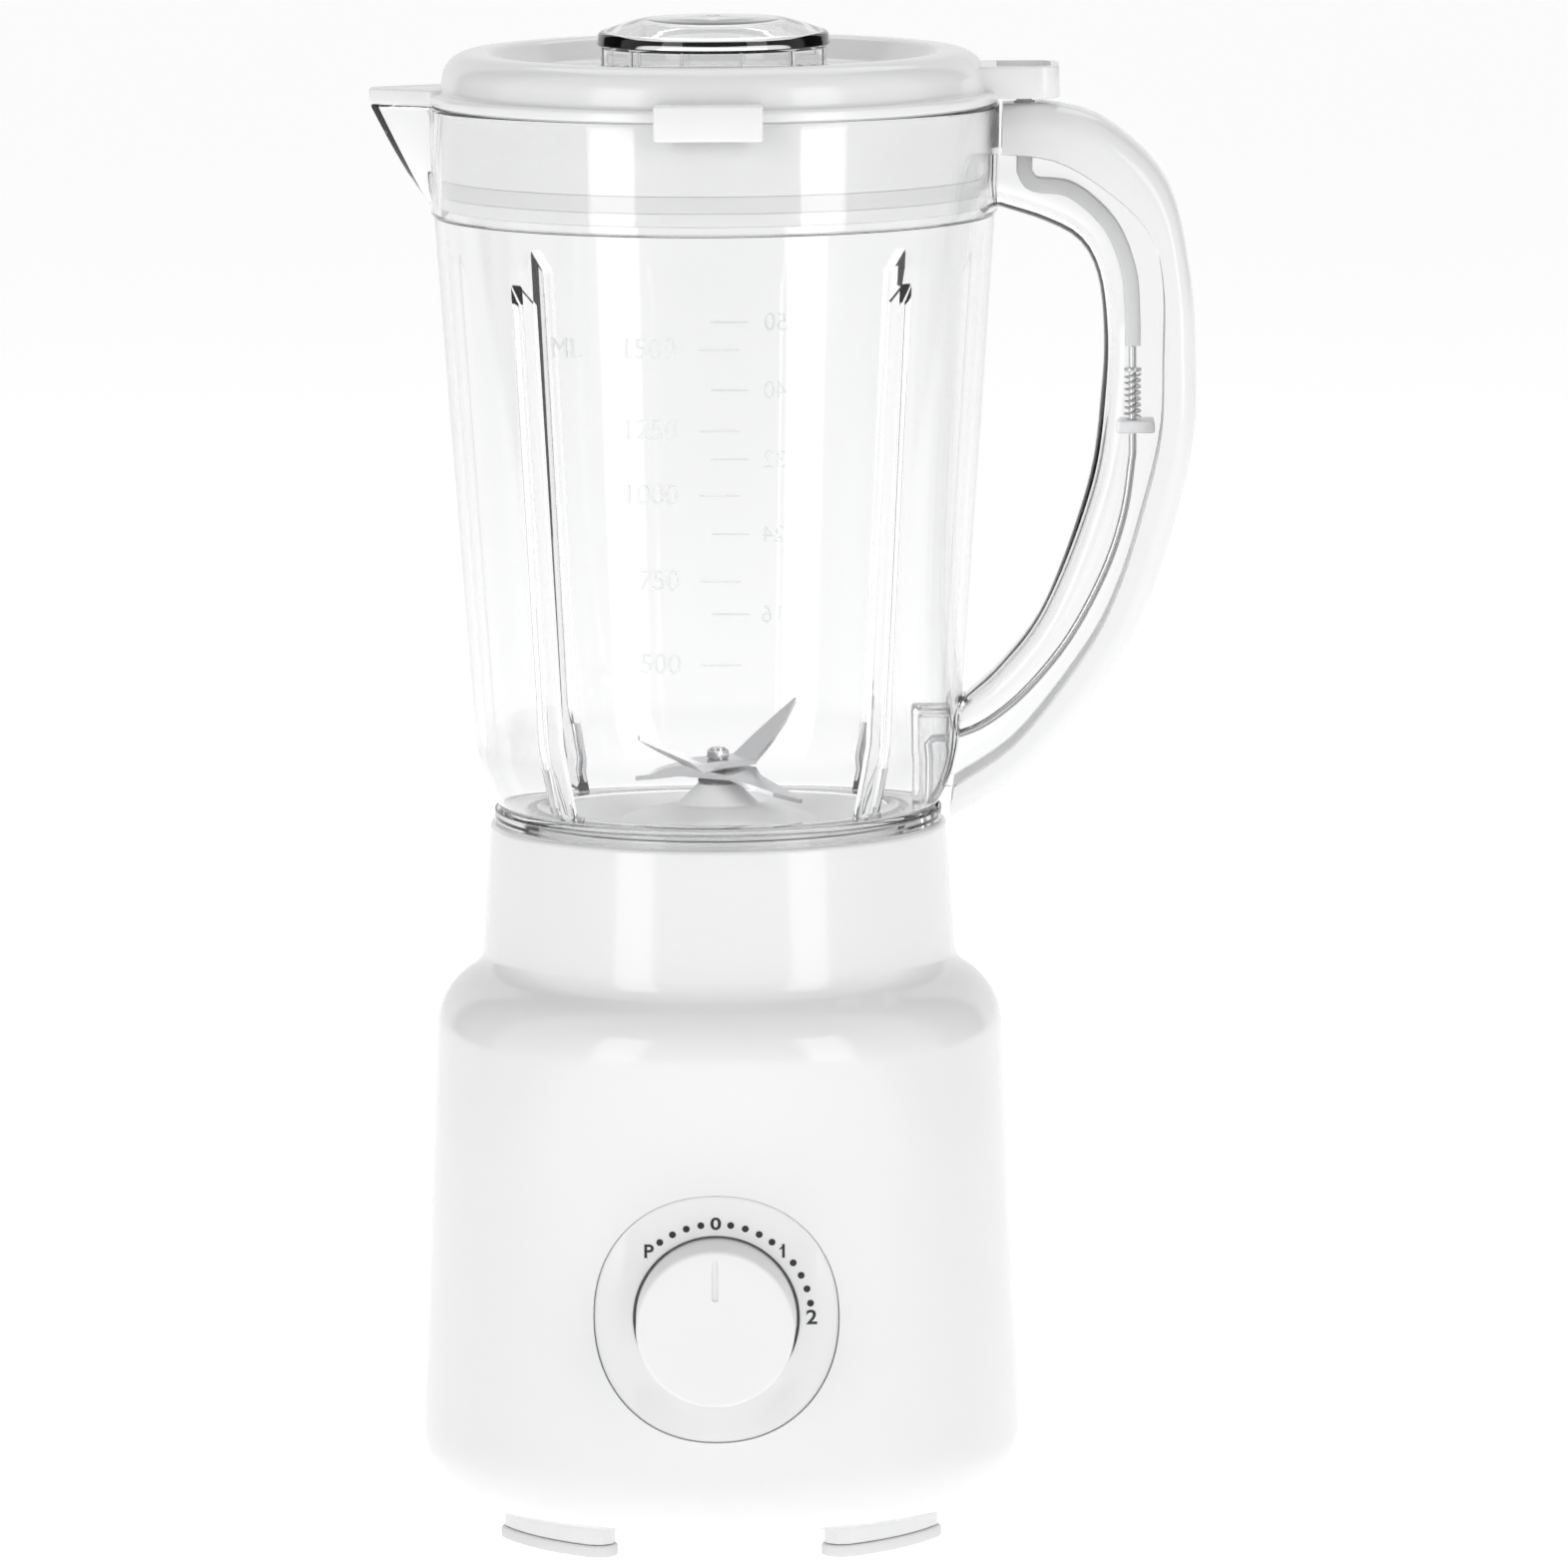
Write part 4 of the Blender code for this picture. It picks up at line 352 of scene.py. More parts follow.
seal_rubber = surface("pale_seal_rubber", (0.8, 0.8, 0.8), 0.5, grain=1600, bump=0.15, shade=0.06)
dark_plastic = surface("dark_moulding", (0.045, 0.045, 0.05), 0.45, grain=1100, bump=0.15, shade=0.15)
turned_brass = surface("turned_brass", (0.72, 0.55, 0.25), 0.3, 1.0, grain=600, bump=0.08, shade=0.12)
cast_alloy = surface("sand_cast_alloy", (0.58, 0.59, 0.6), 0.48, 1.0, grain=450, bump=0.3, shade=0.12)
stacked_iron = surface("stacked_iron", (0.28, 0.28, 0.29), 0.5, 1.0, grain=800, bump=0.25, shade=0.2)
copper = surface("enamelled_copper", (0.7, 0.32, 0.16), 0.32, 1.0, grain=1400, bump=0.4, shade=0.25)
carbon = surface("pressed_carbon", (0.03, 0.03, 0.03), 0.6, grain=1500, bump=0.3, shade=0.3)

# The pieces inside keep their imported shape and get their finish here.
INNER_FINISH = {
    bright_steel: ["base_screw_rear_right", "base_screw_rear_left", "base_screw_front_left",
                   "base_screw_front_right", "motor_bolt_1", "motor_bolt_2", "motor_bolt_3", "motor_bolt_4",
                   "bearing_lower", "bearing_upper", "motor_shaft", "interlock_link", "interlock_spring",
                   "blade_nut", "spindle", "blade_lower", "blade_upper"],
    turned_brass: ["switch_shaft", "spindle_bush"],
    cast_alloy: ["motor_bracket_lower", "motor_bracket_upper"],
    stacked_iron: ["stator_core", "armature_core"],
    copper: ["field_coil_right", "field_coil_left", "armature_winding_lower", "armature_winding_upper",
             "commutator"],
    carbon: ["carbon_brush_right", "carbon_brush_left"],
    dark_plastic: ["cord_gland", "speed_switch", "interlock_microswitch", "brush_holder_right",
                   "brush_holder_left", "cooling_fan", "drive_coupling", "driven_coupling", "blade_washer"],
    satin_white: ["bottom_cover", "interlock_rod", "spring_bracket", "base_interlock_pin", "blade_holder",
                  "lid", "handle_cover"],
    seal_rubber: ["lid_gasket", "holder_gasket"],
    pad_rubber: ["foot_pad_rear_right", "foot_pad_rear_left", "foot_pad_front_left", "foot_pad_front_right"],
    gloss_white: ["base_housing", "control_panel", "speed_knob"],
    clear: ["jar", "measuring_cup"]}
for finish, names in INNER_FINISH.items():
    for node_name in names:
        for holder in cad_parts[node_name].material_slots:
            holder.material = finish


# ---------------------------------------------------------------- base
def base_half_width(z):
    return BASE_HALF_WIDTH - BASE_LEAN * (z - BASE_BOTTOM)


def base_front(x, z):
    """How far forward the housing's front skin stands at x and z."""
    share = 1 - (abs(x) / base_half_width(z)) ** SQUARENESS
    return -base_half_width(z) * DEPTH_SHARE * share ** (1 / SQUARENESS)


def squared(bm):
    """Turn the round body into the base's squarish oval, round again at the shoulder."""
    for vert in bm.verts:
        reach = math.hypot(vert.co.x, vert.co.y)
        if reach < 1e-6:
            continue
        t = min(max((vert.co.z - 0.72 * SHOULDER_Z) / (0.28 * SHOULDER_Z), 0.0), 1.0)
        blend = t * t * (3 - 2 * t)
        depth = DEPTH_SHARE * (1 - blend) + blend
        power = SQUARENESS * (1 - blend) + 2 * blend
        c, s = abs(vert.co.x) / reach, abs(vert.co.y) / reach / depth
        share = (c ** power + s ** power) ** (-1 / power)
        vert.co.x *= share
        vert.co.y *= share
    return bm


def oval(half_x, half_z, power, count=96):
    points = []
    for index in range(count):
        angle = 2 * math.pi * index / count
        c, s = math.cos(angle), math.sin(angle)
        points.append((math.copysign(abs(c) ** (2 / power), c) * half_x,
                       math.copysign(abs(s) ** (2 / power), s) * half_z))
    return points


def base_outer():
    return [(60.3, BASE_BOTTOM, 0), (BASE_HALF_WIDTH, BASE_BOTTOM, 17.0),
            (base_half_width(SHOULDER_Z), SHOULDER_Z, 17.5), (60.6, 146.0, 7.0),
            (COLLAR_RADIUS, COLLAR_TOP, 1.2), (49.3, COLLAR_TOP, 0.8), (49.3, WELL_FLOOR, 1.0),
            (19.5, WELL_FLOOR, 0.8), (19.5, WELL_FLOOR + 4, 0.6),
            (17.0, WELL_FLOOR + 4, 0.6), (17.0, WELL_FLOOR - 2.5, 0), (51.5, WELL_FLOOR - 2.5, 0),
            (51.5, COLLAR_TOP - 2.5, 0), (COLLAR_RADIUS - 2.4, COLLAR_TOP - 2.5, 0), (58.1, 146.0, 5.0),
            (base_half_width(SHOULDER_Z) - 2.5, SHOULDER_Z - 2.5, 15.0),
            (BASE_HALF_WIDTH - 2.5, BASE_BOTTOM + 2.5, 14.5), (60.3, BASE_BOTTOM + 2.5, 0)]


def make_base():
    profile = filled_in(rounded_path(base_outer(), 14, closed=True), 4.0)
    shell = squared(turned(profile, 192, loop=True))
    window = plate(oval(PANEL_HALF_WIDTH + 0.12, PANEL_HALF_HEIGHT + 0.12, PANEL_SQUARENESS), -120, -30, "xz")
    window = bare_object("panel_window", shifted(window, z=KNOB_Z))
    gland = bare_object("gland_hole", shifted(swung(drum(5.4, 40, 120), -90, "X"), z=34.0))
    pin = bare_object("pin_hole", shifted(drum(1.7, 150, 190, 20), x=53.6))
    make_piece("base_shell", shell, gloss_white, "base", ["base_housing"],
               tools=[("DIFFERENCE", window), ("DIFFERENCE", gland), ("DIFFERENCE", pin)])


def panel_face(x, z):
    """Where the control panel's face stands: it follows the housing at its outline."""
    reach = math.hypot(x, z)
    c, s = abs(x) / reach, abs(z) / reach
    edge = ((c / PANEL_HALF_WIDTH) ** PANEL_SQUARENESS
            + (s / PANEL_HALF_HEIGHT) ** PANEL_SQUARENESS) ** (-1 / PANEL_SQUARENESS)
    share = min(max((reach - PANEL_HOLE) / (edge - PANEL_HOLE), 0.0), 1.0)
    dish = base_front(0, KNOB_Z) + PANEL_DISH
    skin = base_front(x, KNOB_Z + z) + PANEL_RECESS
    return dish + (skin - dish) * share * share * (3 - 2 * share)


def make_panel():
    count = 160
    hole = [(PANEL_HOLE * math.cos(2 * math.pi * i / count), PANEL_HOLE * math.sin(2 * math.pi * i / count))
            for i in range(count)]
    rim = []
    for x, z in hole:
        c, s = abs(x) / PANEL_HOLE, abs(z) / PANEL_HOLE
        edge = ((c / PANEL_HALF_WIDTH) ** PANEL_SQUARENESS
                + (s / PANEL_HALF_HEIGHT) ** PANEL_SQUARENESS) ** (-1 / PANEL_SQUARENESS)
        rim.append((x / PANEL_HOLE * edge, z / PANEL_HOLE * edge))
    floor_y = base_front(0, KNOB_Z) + PANEL_DISH + 4.5

    def ring(share, back, pull=0.0):
        places = []
        for (hx, hz), (rx, rz) in zip(hole, rim):
            x, z = hx + (rx - hx) * share, hz + (rz - hz) * share
            length = math.hypot(x, z)
            x, z = x * (1 - pull / length), z * (1 - pull / length)
            places.append((x, panel_face(x, z) + back, KNOB_Z + z))
        return places

    def flat(radius, y):
        return [(x * radius / PANEL_HOLE, y, KNOB_Z + z * radius / PANEL_HOLE) for x, z in hole]

    sections = [ring(1.0, PANEL_RETURN), ring(1.0, 0.5), ring(1.0, 0.18, 0.12), ring(1.0, 0.02, 0.4)]
    sections += [ring(share, 0.0) for share in (0.92, 0.84, 0.76, 0.68, 0.6, 0.52,
                                                0.44, 0.36, 0.28, 0.2, 0.12, 0.06)]
    sections += [ring(0.0, 0.0, -0.25), ring(0.0, 0.12, -0.05), ring(0.0, 0.4)]
    sections += [flat(PANEL_HOLE, floor_y - 0.6), flat(PANEL_HOLE - 0.6, floor_y), flat(4.2, floor_y),
                 flat(4.2, floor_y + PANEL_RETURN),
                 flat(PANEL_HOLE + PANEL_RETURN, floor_y + PANEL_RETURN)]
    wider = 1 + PANEL_RETURN / PANEL_HOLE
    sections.append([(x * wider, panel_face(x, z) + PANEL_RETURN, KNOB_Z + z * wider) for x, z in hole])
    sections.append(sections[0])
    bm = drawn_along(sections, capped=False)
    make_piece("dial_panel", bm, gloss_white, "base", ["control_panel"])


def flat_text(words, size, thickness, align="CENTER", bolder=0.0):
    """Lettering as a mesh in the xy plane, standing up by thickness along z."""
    curve = bpy.data.curves.new("lettering", "FONT")
    curve.body = words
    curve.size = size
    curve.align_x = align
    curve.align_y = "CENTER"
    curve.extrude = thickness / 2
    curve.offset = bolder
    curve.resolution_u = 6
    carrier = bpy.data.objects.new("lettering", curve)
    bpy.context.scene.collection.objects.link(carrier)
    graph = bpy.context.evaluated_depsgraph_get()
    mesh = bpy.data.meshes.new_from_object(carrier.evaluated_get(graph))
    bm = bmesh.new()
    bm.from_mesh(mesh)
    bpy.data.objects.remove(carrier, do_unlink=True)
    bpy.data.curves.remove(curve)
    bpy.data.meshes.remove(mesh)
    bmesh.ops.remove_doubles(bm, verts=bm.verts, dist=1e-5)
    return shifted(bm, z=thickness / 2)


def make_dial_marks():
    """P 0 1 2 with four dots between each pair, on a circle round the knob."""
    circle = 23.9
    marks = []

    def laid(bm, degrees):
        angle = math.radians(degrees)
        x, z = circle * math.sin(angle), circle * math.cos(angle)
        for vert in bm.verts:
            px, pz = x + vert.co.x, z + vert.co.y
            vert.co = (px, panel_face(px, pz) - 0.01 - vert.co.z, KNOB_Z + pz)
        marks.append(bm)

    for words, degrees, size, wider in (("P", -45, 4.8, 1.05), ("0", 0, 4.3, 1.28), ("1", 45, 4.8, 1.0),
                                        ("2", 90, 5.1, 1.12)):
        letter = flat_text(words, size, 0.05, bolder=0.1)
        bmesh.ops.scale(letter, vec=(wider, 1, 1), verts=letter.verts)
        if words == "1":
            flag = plate([(-1.05, 0.75), (-0.85, 0.45), (0.1, 1.2), (0.1, 1.75)], 0, 0.05)
            letter = gathered([letter, flag])
        laid(letter, degrees)
    for start in (-45, 0, 45):
        for step in range(1, 5):
            laid(drum(0.87, 0, 0.05, 20), start + 9 * step)
    make_piece("dial_marks", gathered(marks), print_black, "base")


def make_knob():
    face_y = base_front(0, KNOB_Z) + PANEL_DISH - 15.3
    foot_y = base_front(0, KNOB_Z) + PANEL_DISH + 4.5 - 0.5
    depth = foot_y - face_y
    profile = rounded_path([(0, depth, 0), (KNOB_RADIUS - 0.4, depth, 1.0), (KNOB_RADIUS, 0, 0.4),
                            (KNOB_RADIUS - 2, 0, 0), (KNOB_RADIUS - 2.4, depth - 2, 1.0), (5.7, depth - 2, 0),
                            (5.7, 1, 0), (3.3, 1, 0), (3.3, depth - 5, 0), (0, depth - 5, 0)], 6)
    body = turned(filled_in(profile, 5.0), 128)
    half, inner, outer = GROOVE_HALF_WIDTH, KNOB_RADIUS - 13.2, KNOB_RADIUS - 2.9
    groove = plate(rounded_path([(-half, inner, 0.8), (half, inner, 0.8),
                                 (half, outer, 0.8), (-half, outer, 0.8)], 5, closed=True),
                   depth - GROOVE_DEPTH, depth + 2)
    for bm in (body, groove):
        swung(bm, 90, "X")
        shifted(bm, 0, foot_y, KNOB_Z)
    make_piece("knob_cap", body, knob_white, "knob", ["speed_knob"], sharp=30,
               tools=[("DIFFERENCE", bare_object("pointer_groove", groove))])


def foot_arc(radius, half_width, middle, half_span, steps=16):
    points = []
    for side, start, end in ((1, -1, 1), (-1, 1, -1)):
        for step in range(steps + 1):
            angle = math.radians(middle + half_span * (start + (end - start) * step / steps))
            reach = radius + side * half_width
            points.append((reach * math.cos(angle), reach * math.sin(angle)))
        turn = math.radians(middle + half_span * end)
        cx, cy = radius * math.cos(turn), radius * math.sin(turn)
        for step in range(1, 8):
            swing = turn + math.pi * step / 8 + (0 if side > 0 else math.pi)
            points.append((cx + half_width * math.cos(swing), cy + half_width * math.sin(swing)))
    return [(x, y * DEPTH_SHARE) for x, y in points]


def make_feet():
    places = {"rear_right": 41, "rear_left": 139, "front_left": 221, "front_right": 319}
    for name, middle in places.items():
        pad = softened(plate(foot_arc(56.5, 5.0, middle, 16.0), 0, 3.0), 0.6, 3, 60)
        make_piece(f"pad_{name}", pad, pad_rubber, "base", [f"foot_pad_{name}"])


# ---------------------------------------------------------------- jar
JAR_CORNERS = [(72.3, RIM, 0.9), (71.7, SEAT + 155.4, 0.15), (71.0, SEAT + 154.9, 0.15),
               (61.1, SEAT + 12.6, 42.0), (55.4, SEAT + 3.3, 0.0)]
JAR_PATH = rounded_path([(70.0, RIM, 0)] + [(r, z, 0 if bend < 1 else bend) for r, z, bend in JAR_CORNERS]
                        + [(57.0, SEAT + 3.3, 0)], 16)


def jar_radius(z):
    """Outer radius of the jar's wall at a height."""
    for (r1, z1), (r2, z2) in zip(JAR_PATH[1:], JAR_PATH[2:]):
        if z2 <= z <= z1 and z1 > z2:
            return r1 + (r2 - r1) * (z1 - z) / (z1 - z2)
    return JAR_PATH[1][0] if z > RIM else JAR_PATH[-2][0]


def make_jar():
    """The jar's wall, foot ring and skirt in one turned shape, with the spout pulled out of its rim."""
    floor_top = SEAT + 4.7
    corners = JAR_CORNERS + [
        (57.0, SEAT + 3.3, 0.3), (57.0, SEAT, 0.6), (48.5, SEAT, 0.0), (48.5, SEAT - 23.8, 0.5),
        (46.2, SEAT - 23.8, 0.5), (46.2, floor_top - 1.8, 0.0), (43.0, floor_top - 1.8, 0.3),
        (43.0, floor_top, 0.4), (54.6, floor_top, 1.5), (58.6, SEAT + 12.6, 34.0), (68.4, SEAT + 154.6, 0.15),
        (69.2, SEAT + 155.0, 0.15), (69.8, RIM, 0.9)]
    path = rounded_path(corners, 12, closed=True)
    path = filled_in(path + [path[0]], 7.0)
    fine = [path[0]]
    for start, end in zip(path, path[1:]):
        pieces = max(1, math.ceil(abs(end[1] - start[1]) / 1.8)) if max(start[1], end[1]) > 338.9 else 1
        fine += [(start[0] + (end[0] - start[0]) * i / pieces, start[1] + (end[1] - start[1]) * i / pieces)
                 for i in range(1, pieces + 1)]
    bm = turned(fine[:-1], 240, loop=True)
    for vert in bm.verts:
        rise = (vert.co.z - (RIM - 25.0)) / 25.0
        angle = 180 - abs(math.degrees(math.atan2(vert.co.y, vert.co.x)))
        if rise <= 0 or angle > 7.5:
            continue
        share = 1 - max(math.hypot(angle, 0.4) - 0.4, 0) / 7.5
        reach = math.hypot(vert.co.x, vert.co.y)
        out = (14.7 * rise ** 0.8 * share + reach) / reach
        vert.co.x *= out
        vert.co.y *= out
    return bm


def make_jar_ribs():
    """Four ribs that stop the food from spinning with the blades."""
    low, high = SEAT + 4.2, RIM - 44.7
    foot, middle, top = (jar_radius(z) - JAR_WALL for z in (low + 4, low + 20, high))
    side = [(foot - 6, low), (foot + 0.6, low + 3), (middle + 1, low + 20), (top + 1, high + 4),
            (top - 5, high - 2), (middle - 5, low + 20)]
    return gathered([swung(softened(plate(side, -RIB_HALF_THICKNESS, RIB_HALF_THICKNESS, "xz"),
                                    RIB_ROUNDING, 3, 30), 45 + 90 * index) for index in range(4)])


GRIP_LINE = [(0.7, 156.4), (13.0, 152.6), (21.8, 147.7), (27.0, 139.0), (29.5, 125.0),
             (29.9, 110.0), (28.2, 86.7), (19.4, 56.1), (9.5, 40.5), (0.7, 31.6)]
SEAM_LINE = [(0.7, 170.3), (14.6, 168.4), (28.0, 160.5), (39.5, 150.0), (43.9, 136.0),
             (45.2, 117.5), (45.8, 98.0), (42.2, 77.0), (37.6, 58.7), (30.6, 43.0),
             (14.9, 20.8), (1.7, 9.2)]
BACK_LINE = [(0.7, 182.3), (12.0, 182.5), (26.9, 178.1), (42.6, 162.9), (50.4, 139.5),
             (53.2, 118.0), (54.1, 98.0), (50.7, 76.0), (44.7, 54.0), (34.2, 33.0),
             (16.2, 11.0), (3.6, 1.0)]


def handle_line(points, count=0):
    """A handle line in the side view, from (stand-out from the wall, height above the seat)."""
    placed = [(jar_radius(SEAT + height) + out, SEAT + height) for out, height in points]
    return even_curve(placed, count) if count else placed


def rooted(curve):
    """The curve with one more point at each end, sunk into the jar's wall."""
    first, last = curve[0], curve[-1]
    return [Vector((jar_radius(first.y) - 1.8, first.y)), *curve, Vector((jar_radius(last.y) - 1.8, last.y))]


def hollow_section(base, top, half_width, wall):
    """A U of wall thickness round the line from base to top, open at base."""
    depth = (top - base).length
    along = (top - base) / depth
    bend = min(depth * 0.6, half_width * 0.62)
    outer = rounded_path([(-half_width, 0, 0), (-half_width, depth, bend),
                          (half_width, depth, bend), (half_width, 0, 0)], 8)
    half, deep = half_width - wall, depth - wall
    bend = max(bend - wall, 0.4)
    inner = rounded_path([(half, 0, 0), (half, deep, bend), (-half, deep, bend), (-half, 0, 0)], 8)
    return [((base + along * up).x, across, (base + along * up).y) for across, up in outer + inner]


def make_handle_channel():
    sections = []
    for low, high in zip(rooted(handle_line(SEAM_LINE, 48)), rooted(handle_line(GRIP_LINE, 48))):
        step = (high - low).normalized() * 0.3
        sections.append(hollow_section(low + step, high, 11.6, 2.2))
    return drawn_along(sections)


def make_handle_cover():
    sections = [hollow_section(low, high, 12.2, 2.2)
                for low, high in zip(handle_line(SEAM_LINE, 48), handle_line(BACK_LINE, 48))]
    slot = bare_object("rod_slot", block(75.9, 81.1, -3.1, 3.1, RIM - 12, RIM + 8))
    make_piece("handle_shell", drawn_along(sections), gloss_white, "jar", ["handle_cover"],
               tools=[("DIFFERENCE", slot)])


def make_jar_piece():
    boss_top = SEAT + 28.8
    inside = 51.1
    side = [(inside - 1.8, boss_top), (inside - 1.8, SEAT + 0.5)]
    side += [(jar_radius(height) - JAR_WALL / 2, height)
             for height in (SEAT + 0.5, SEAT + 4.7, SEAT + 6.3, SEAT + 12.6, boss_top)]
    boss = bare_object("pin_boss", softened(plate(side, -5.8, 5.8, "xz"), 0.9, 3, 40))
    room = bare_object("pin_room", softened(block(inside, 63.1, -4, 4, SEAT + 3.3, SEAT + 27), 1.2, 4))
    mouth = bare_object("pin_mouth", block(inside, inside + 5, -4, 4, SEAT - 2, SEAT + 5))
    channel = bare_object("handle_channel", make_handle_channel())
    ribs = bare_object("food_ribs", make_jar_ribs())
    make_piece("jar_wall", make_jar(), clear, "jar", ["jar"], sharp=32,
               tools=[("UNION", ribs), ("UNION", channel), ("UNION", boss),
                      ("DIFFERENCE", room), ("DIFFERENCE", mouth)])


def wrapped(bm, middle_z, degrees, behind=False):
    """Lay lettering on the jar's outer wall, on its front or on its back."""
    side = -1 if behind else 1
    for vert in bm.verts:
        z = middle_z + vert.co.y
        radius = jar_radius(z) + 0.02 + vert.co.z
        angle = math.radians(degrees) + vert.co.x / jar_radius(z)
        vert.co = (side * radius * math.sin(angle), -side * radius * math.cos(angle), z)
    return bm


def make_volume_marks():
    """The millilitre scale on the front of the jar and the ounce scale on its back."""
    front = [wrapped(flat_text("ML", 7.2, 0.25), 308.5, -31.5)]
    for words, z in (("1500", 309.0), ("1250", 288.7), ("1000", 272.4), ("750", 250.8), ("500", 229.7)):
        front.append(wrapped(flat_text(words, 7.2, 0.25, "RIGHT"), z, -7.0))
        front.append(wrapped(block(-3.0, 7.2, -0.25, 0.25, 0, 0.25), z, 0))
    make_piece("millilitre_scale", gathered(front), frosted, "jar")
    back = []
    for words, z in (("50", 302.6), ("40", 284.9), ("32", 267.0), ("24", 247.6), ("16", 226.8)):
        back.append(wrapped(flat_text(words, 6.6, 0.25), z, -12.5, True))
        back.append(wrapped(block(-7.5, 2.6, -0.25, 0.25, 0, 0.25), z, 0, True))
    make_piece("ounce_scale", gathered(back), frosted, "jar")


# ---------------------------------------------------------------- lid interlock in the handle
def swept_bar(path, half_x, half_y, soft):
    """A bar with rounded corners that follows a path in the plane y = 0."""
    corners = rounded_path([(-half_x, -half_y, soft), (half_x, -half_y, soft),
                            (half_x, half_y, soft), (-half_x, half_y, soft)], 3, closed=True)
    sections = []
    for index, at in enumerate(path):
        ahead = (path[min(index + 1, len(path) - 1)] - path[max(index - 1, 0)]).normalized()
        sections.append([(at.x + ahead.y * a, b, at.y - ahead.x * a) for a, b in corners])
    return drawn_along(sections)


def make_interlock():
    rod_x, pin_x = 78.5, jar_radius(SEAT + 110) + 37.9
    bend = [(rod_x, SEAT + 165), (rod_x + 2.5, SEAT + 161.8), (rod_x + 11.9, SEAT + 160.2),
            (pin_x - 5.8, SEAT + 151.6), (pin_x - 1.0, SEAT + 140),
            (pin_x, SEAT + 128), (pin_x, SEAT + 120.7)]
    path = [Vector((rod_x, RIM - 2.7))] + even_curve(bend, 40)
    make_piece("press_rod", swept_bar(path, 2.0, 2.5, 0.5), satin_white, "interlock", ["interlock_rod"])

    knee = [(pin_x, SEAT + 93)] + handle_line([(37.9, 78.0), (34.0, 63.0), (26.1, 46.0), (16.0, 32.5),
                                               (6.7, 24.5), (-0.8, 21.2)]) + [(55.1, SEAT + 20.6)]
    path = [Vector((pin_x, SEAT + 120.4))] + even_curve(knee, 48)
    path += [Vector((53.6, SEAT + 19.1)), Vector((53.6, COLLAR_TOP + 0.6))]
    collar = softened(shifted(drum(2.3, SEAT + 114, SEAT + 115), x=pin_x), 0.2, 2, 60)
    make_piece("press_wire", gathered([swept_bar(path, 1.0, 1.0, 0.95), collar]), bright_steel, "interlock",
               ["interlock_link"])

    turns, per_turn = 7, 24
    low, high = SEAT + 102.45, SEAT + 113.35
    sections = []
    for step in range(turns * per_turn + 1):
        turn = 2 * math.pi * step / per_turn
        z = low + (high - low) * step / (turns * per_turn)
        sections.append([(pin_x + (1.95 + 0.35 * math.cos(t)) * math.cos(turn),
                          (1.95 + 0.35 * math.cos(t)) * math.sin(turn), z + 0.35 * math.sin(t))
                         for t in [2 * math.pi * side / 6 for side in range(6)]])
    spring = make_piece("press_spring", drawn_along(sections), bright_steel, "jar", ["interlock_spring"])
    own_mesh(spring)

    seat = softened(block(pin_x - 4.2, pin_x + 5.5, -6, 6, SEAT + 98.8, SEAT + 101.8), 0.5, 3)
    hole = bare_object("bracket_hole", shifted(drum(1.5, SEAT + 95, SEAT + 105), x=pin_x))
    make_piece("spring_seat", seat, satin_white, "jar", ["spring_bracket"], tools=[("DIFFERENCE", hole)])


# ---------------------------------------------------------------- blade unit
def make_blade_unit():
    floor_top = SEAT + 4.7
    rim, seal = floor_top - 0.5, floor_top - 4.0
    dip = rim - 4.7
    dome = rounded_path([
        (3.3, SEAT + 11.2, 0), (5.2, SEAT + 11.2, 0.4), (10.5, SEAT + 5.4, 2.0), (13.0, SEAT + 5.0, 0.5),
        (22.5, dip + 3.0, 12.0), (27.5, dip, 2.5), (39.7, rim, 2.0), (42.7, rim, 0.4), (42.7, seal, 0.0),
        (45.9, seal, 0.3), (45.9, SEAT - 15.8, 0.3), (43.5, SEAT - 15.8, 0.3), (43.5, dip - 2.4, 0.5),
        (24.5, dip - 2.4, 0.0), (8.6, SEAT + 0.6, 0.0), (8.6, SEAT - 4.8, 0.3), (5.6, SEAT - 4.8, 0.0),
        (5.6, SEAT + 6.3, 0.0), (3.3, SEAT + 6.3, 0.0)], 6, closed=True)
    make_piece("holder_dome", turned(dome, 128, loop=True), satin_white, "jar", ["blade_holder"])
    ring = rounded_path([(43.0, seal + 0.3, 0.3), (45.9, seal + 0.3, 0.3), (45.9, seal + 1.9, 0.3),
                         (43.0, seal + 1.9, 0.3)], 4, closed=True)
    make_piece("holder_seal", turned(ring, 128, loop=True), seal_rubber, "jar", ["holder_gasket"])

    washer = SEAT + 11.5
    ring = rounded_path([(3.3, washer, 0.1), (5.1, washer, 0.25), (5.1, washer + 1.1, 0.25),
                         (3.3, washer + 1.1, 0.1)], 4, closed=True)
    make_piece("washer_ring", turned(ring, 48, loop=True), dark_plastic, "blades", ["blade_washer"])
    lower = washer + 1.4
    upper = lower + 1.5
    make_blade("blade_pair_low", lower, -38, (-20, -8), "blade_lower")
    make_blade("blade_pair_high", upper, 33, (38, 25), "blade_upper")
    nut = upper + 1.5
    hexagon = softened(shifted(drum(3.2, nut, nut + 1.9, 6)), 0.25, 2, 40)
    make_piece("nut_cap", hexagon, bright_steel, "blades", ["blade_nut"],
               tools=[("DIFFERENCE", bare_object("nut_hole", drum(2.3, nut - 2, nut + 4)))])
    foot = STAR_SOCKET_TOP
    rod = rounded_path([(0, foot, 0), (3.0, foot, 0.4), (3.0, lower - 0.3, 0.1), (2.0, lower - 0.3, 0.1),
                        (2.0, nut + 2.5, 0.15), (0, nut + 2.5, 0)], 4)
    make_piece("spindle_rod", turned(rod, 40), bright_steel, "blades", ["spindle"])


STAR_SOCKET_TOP = 170.6


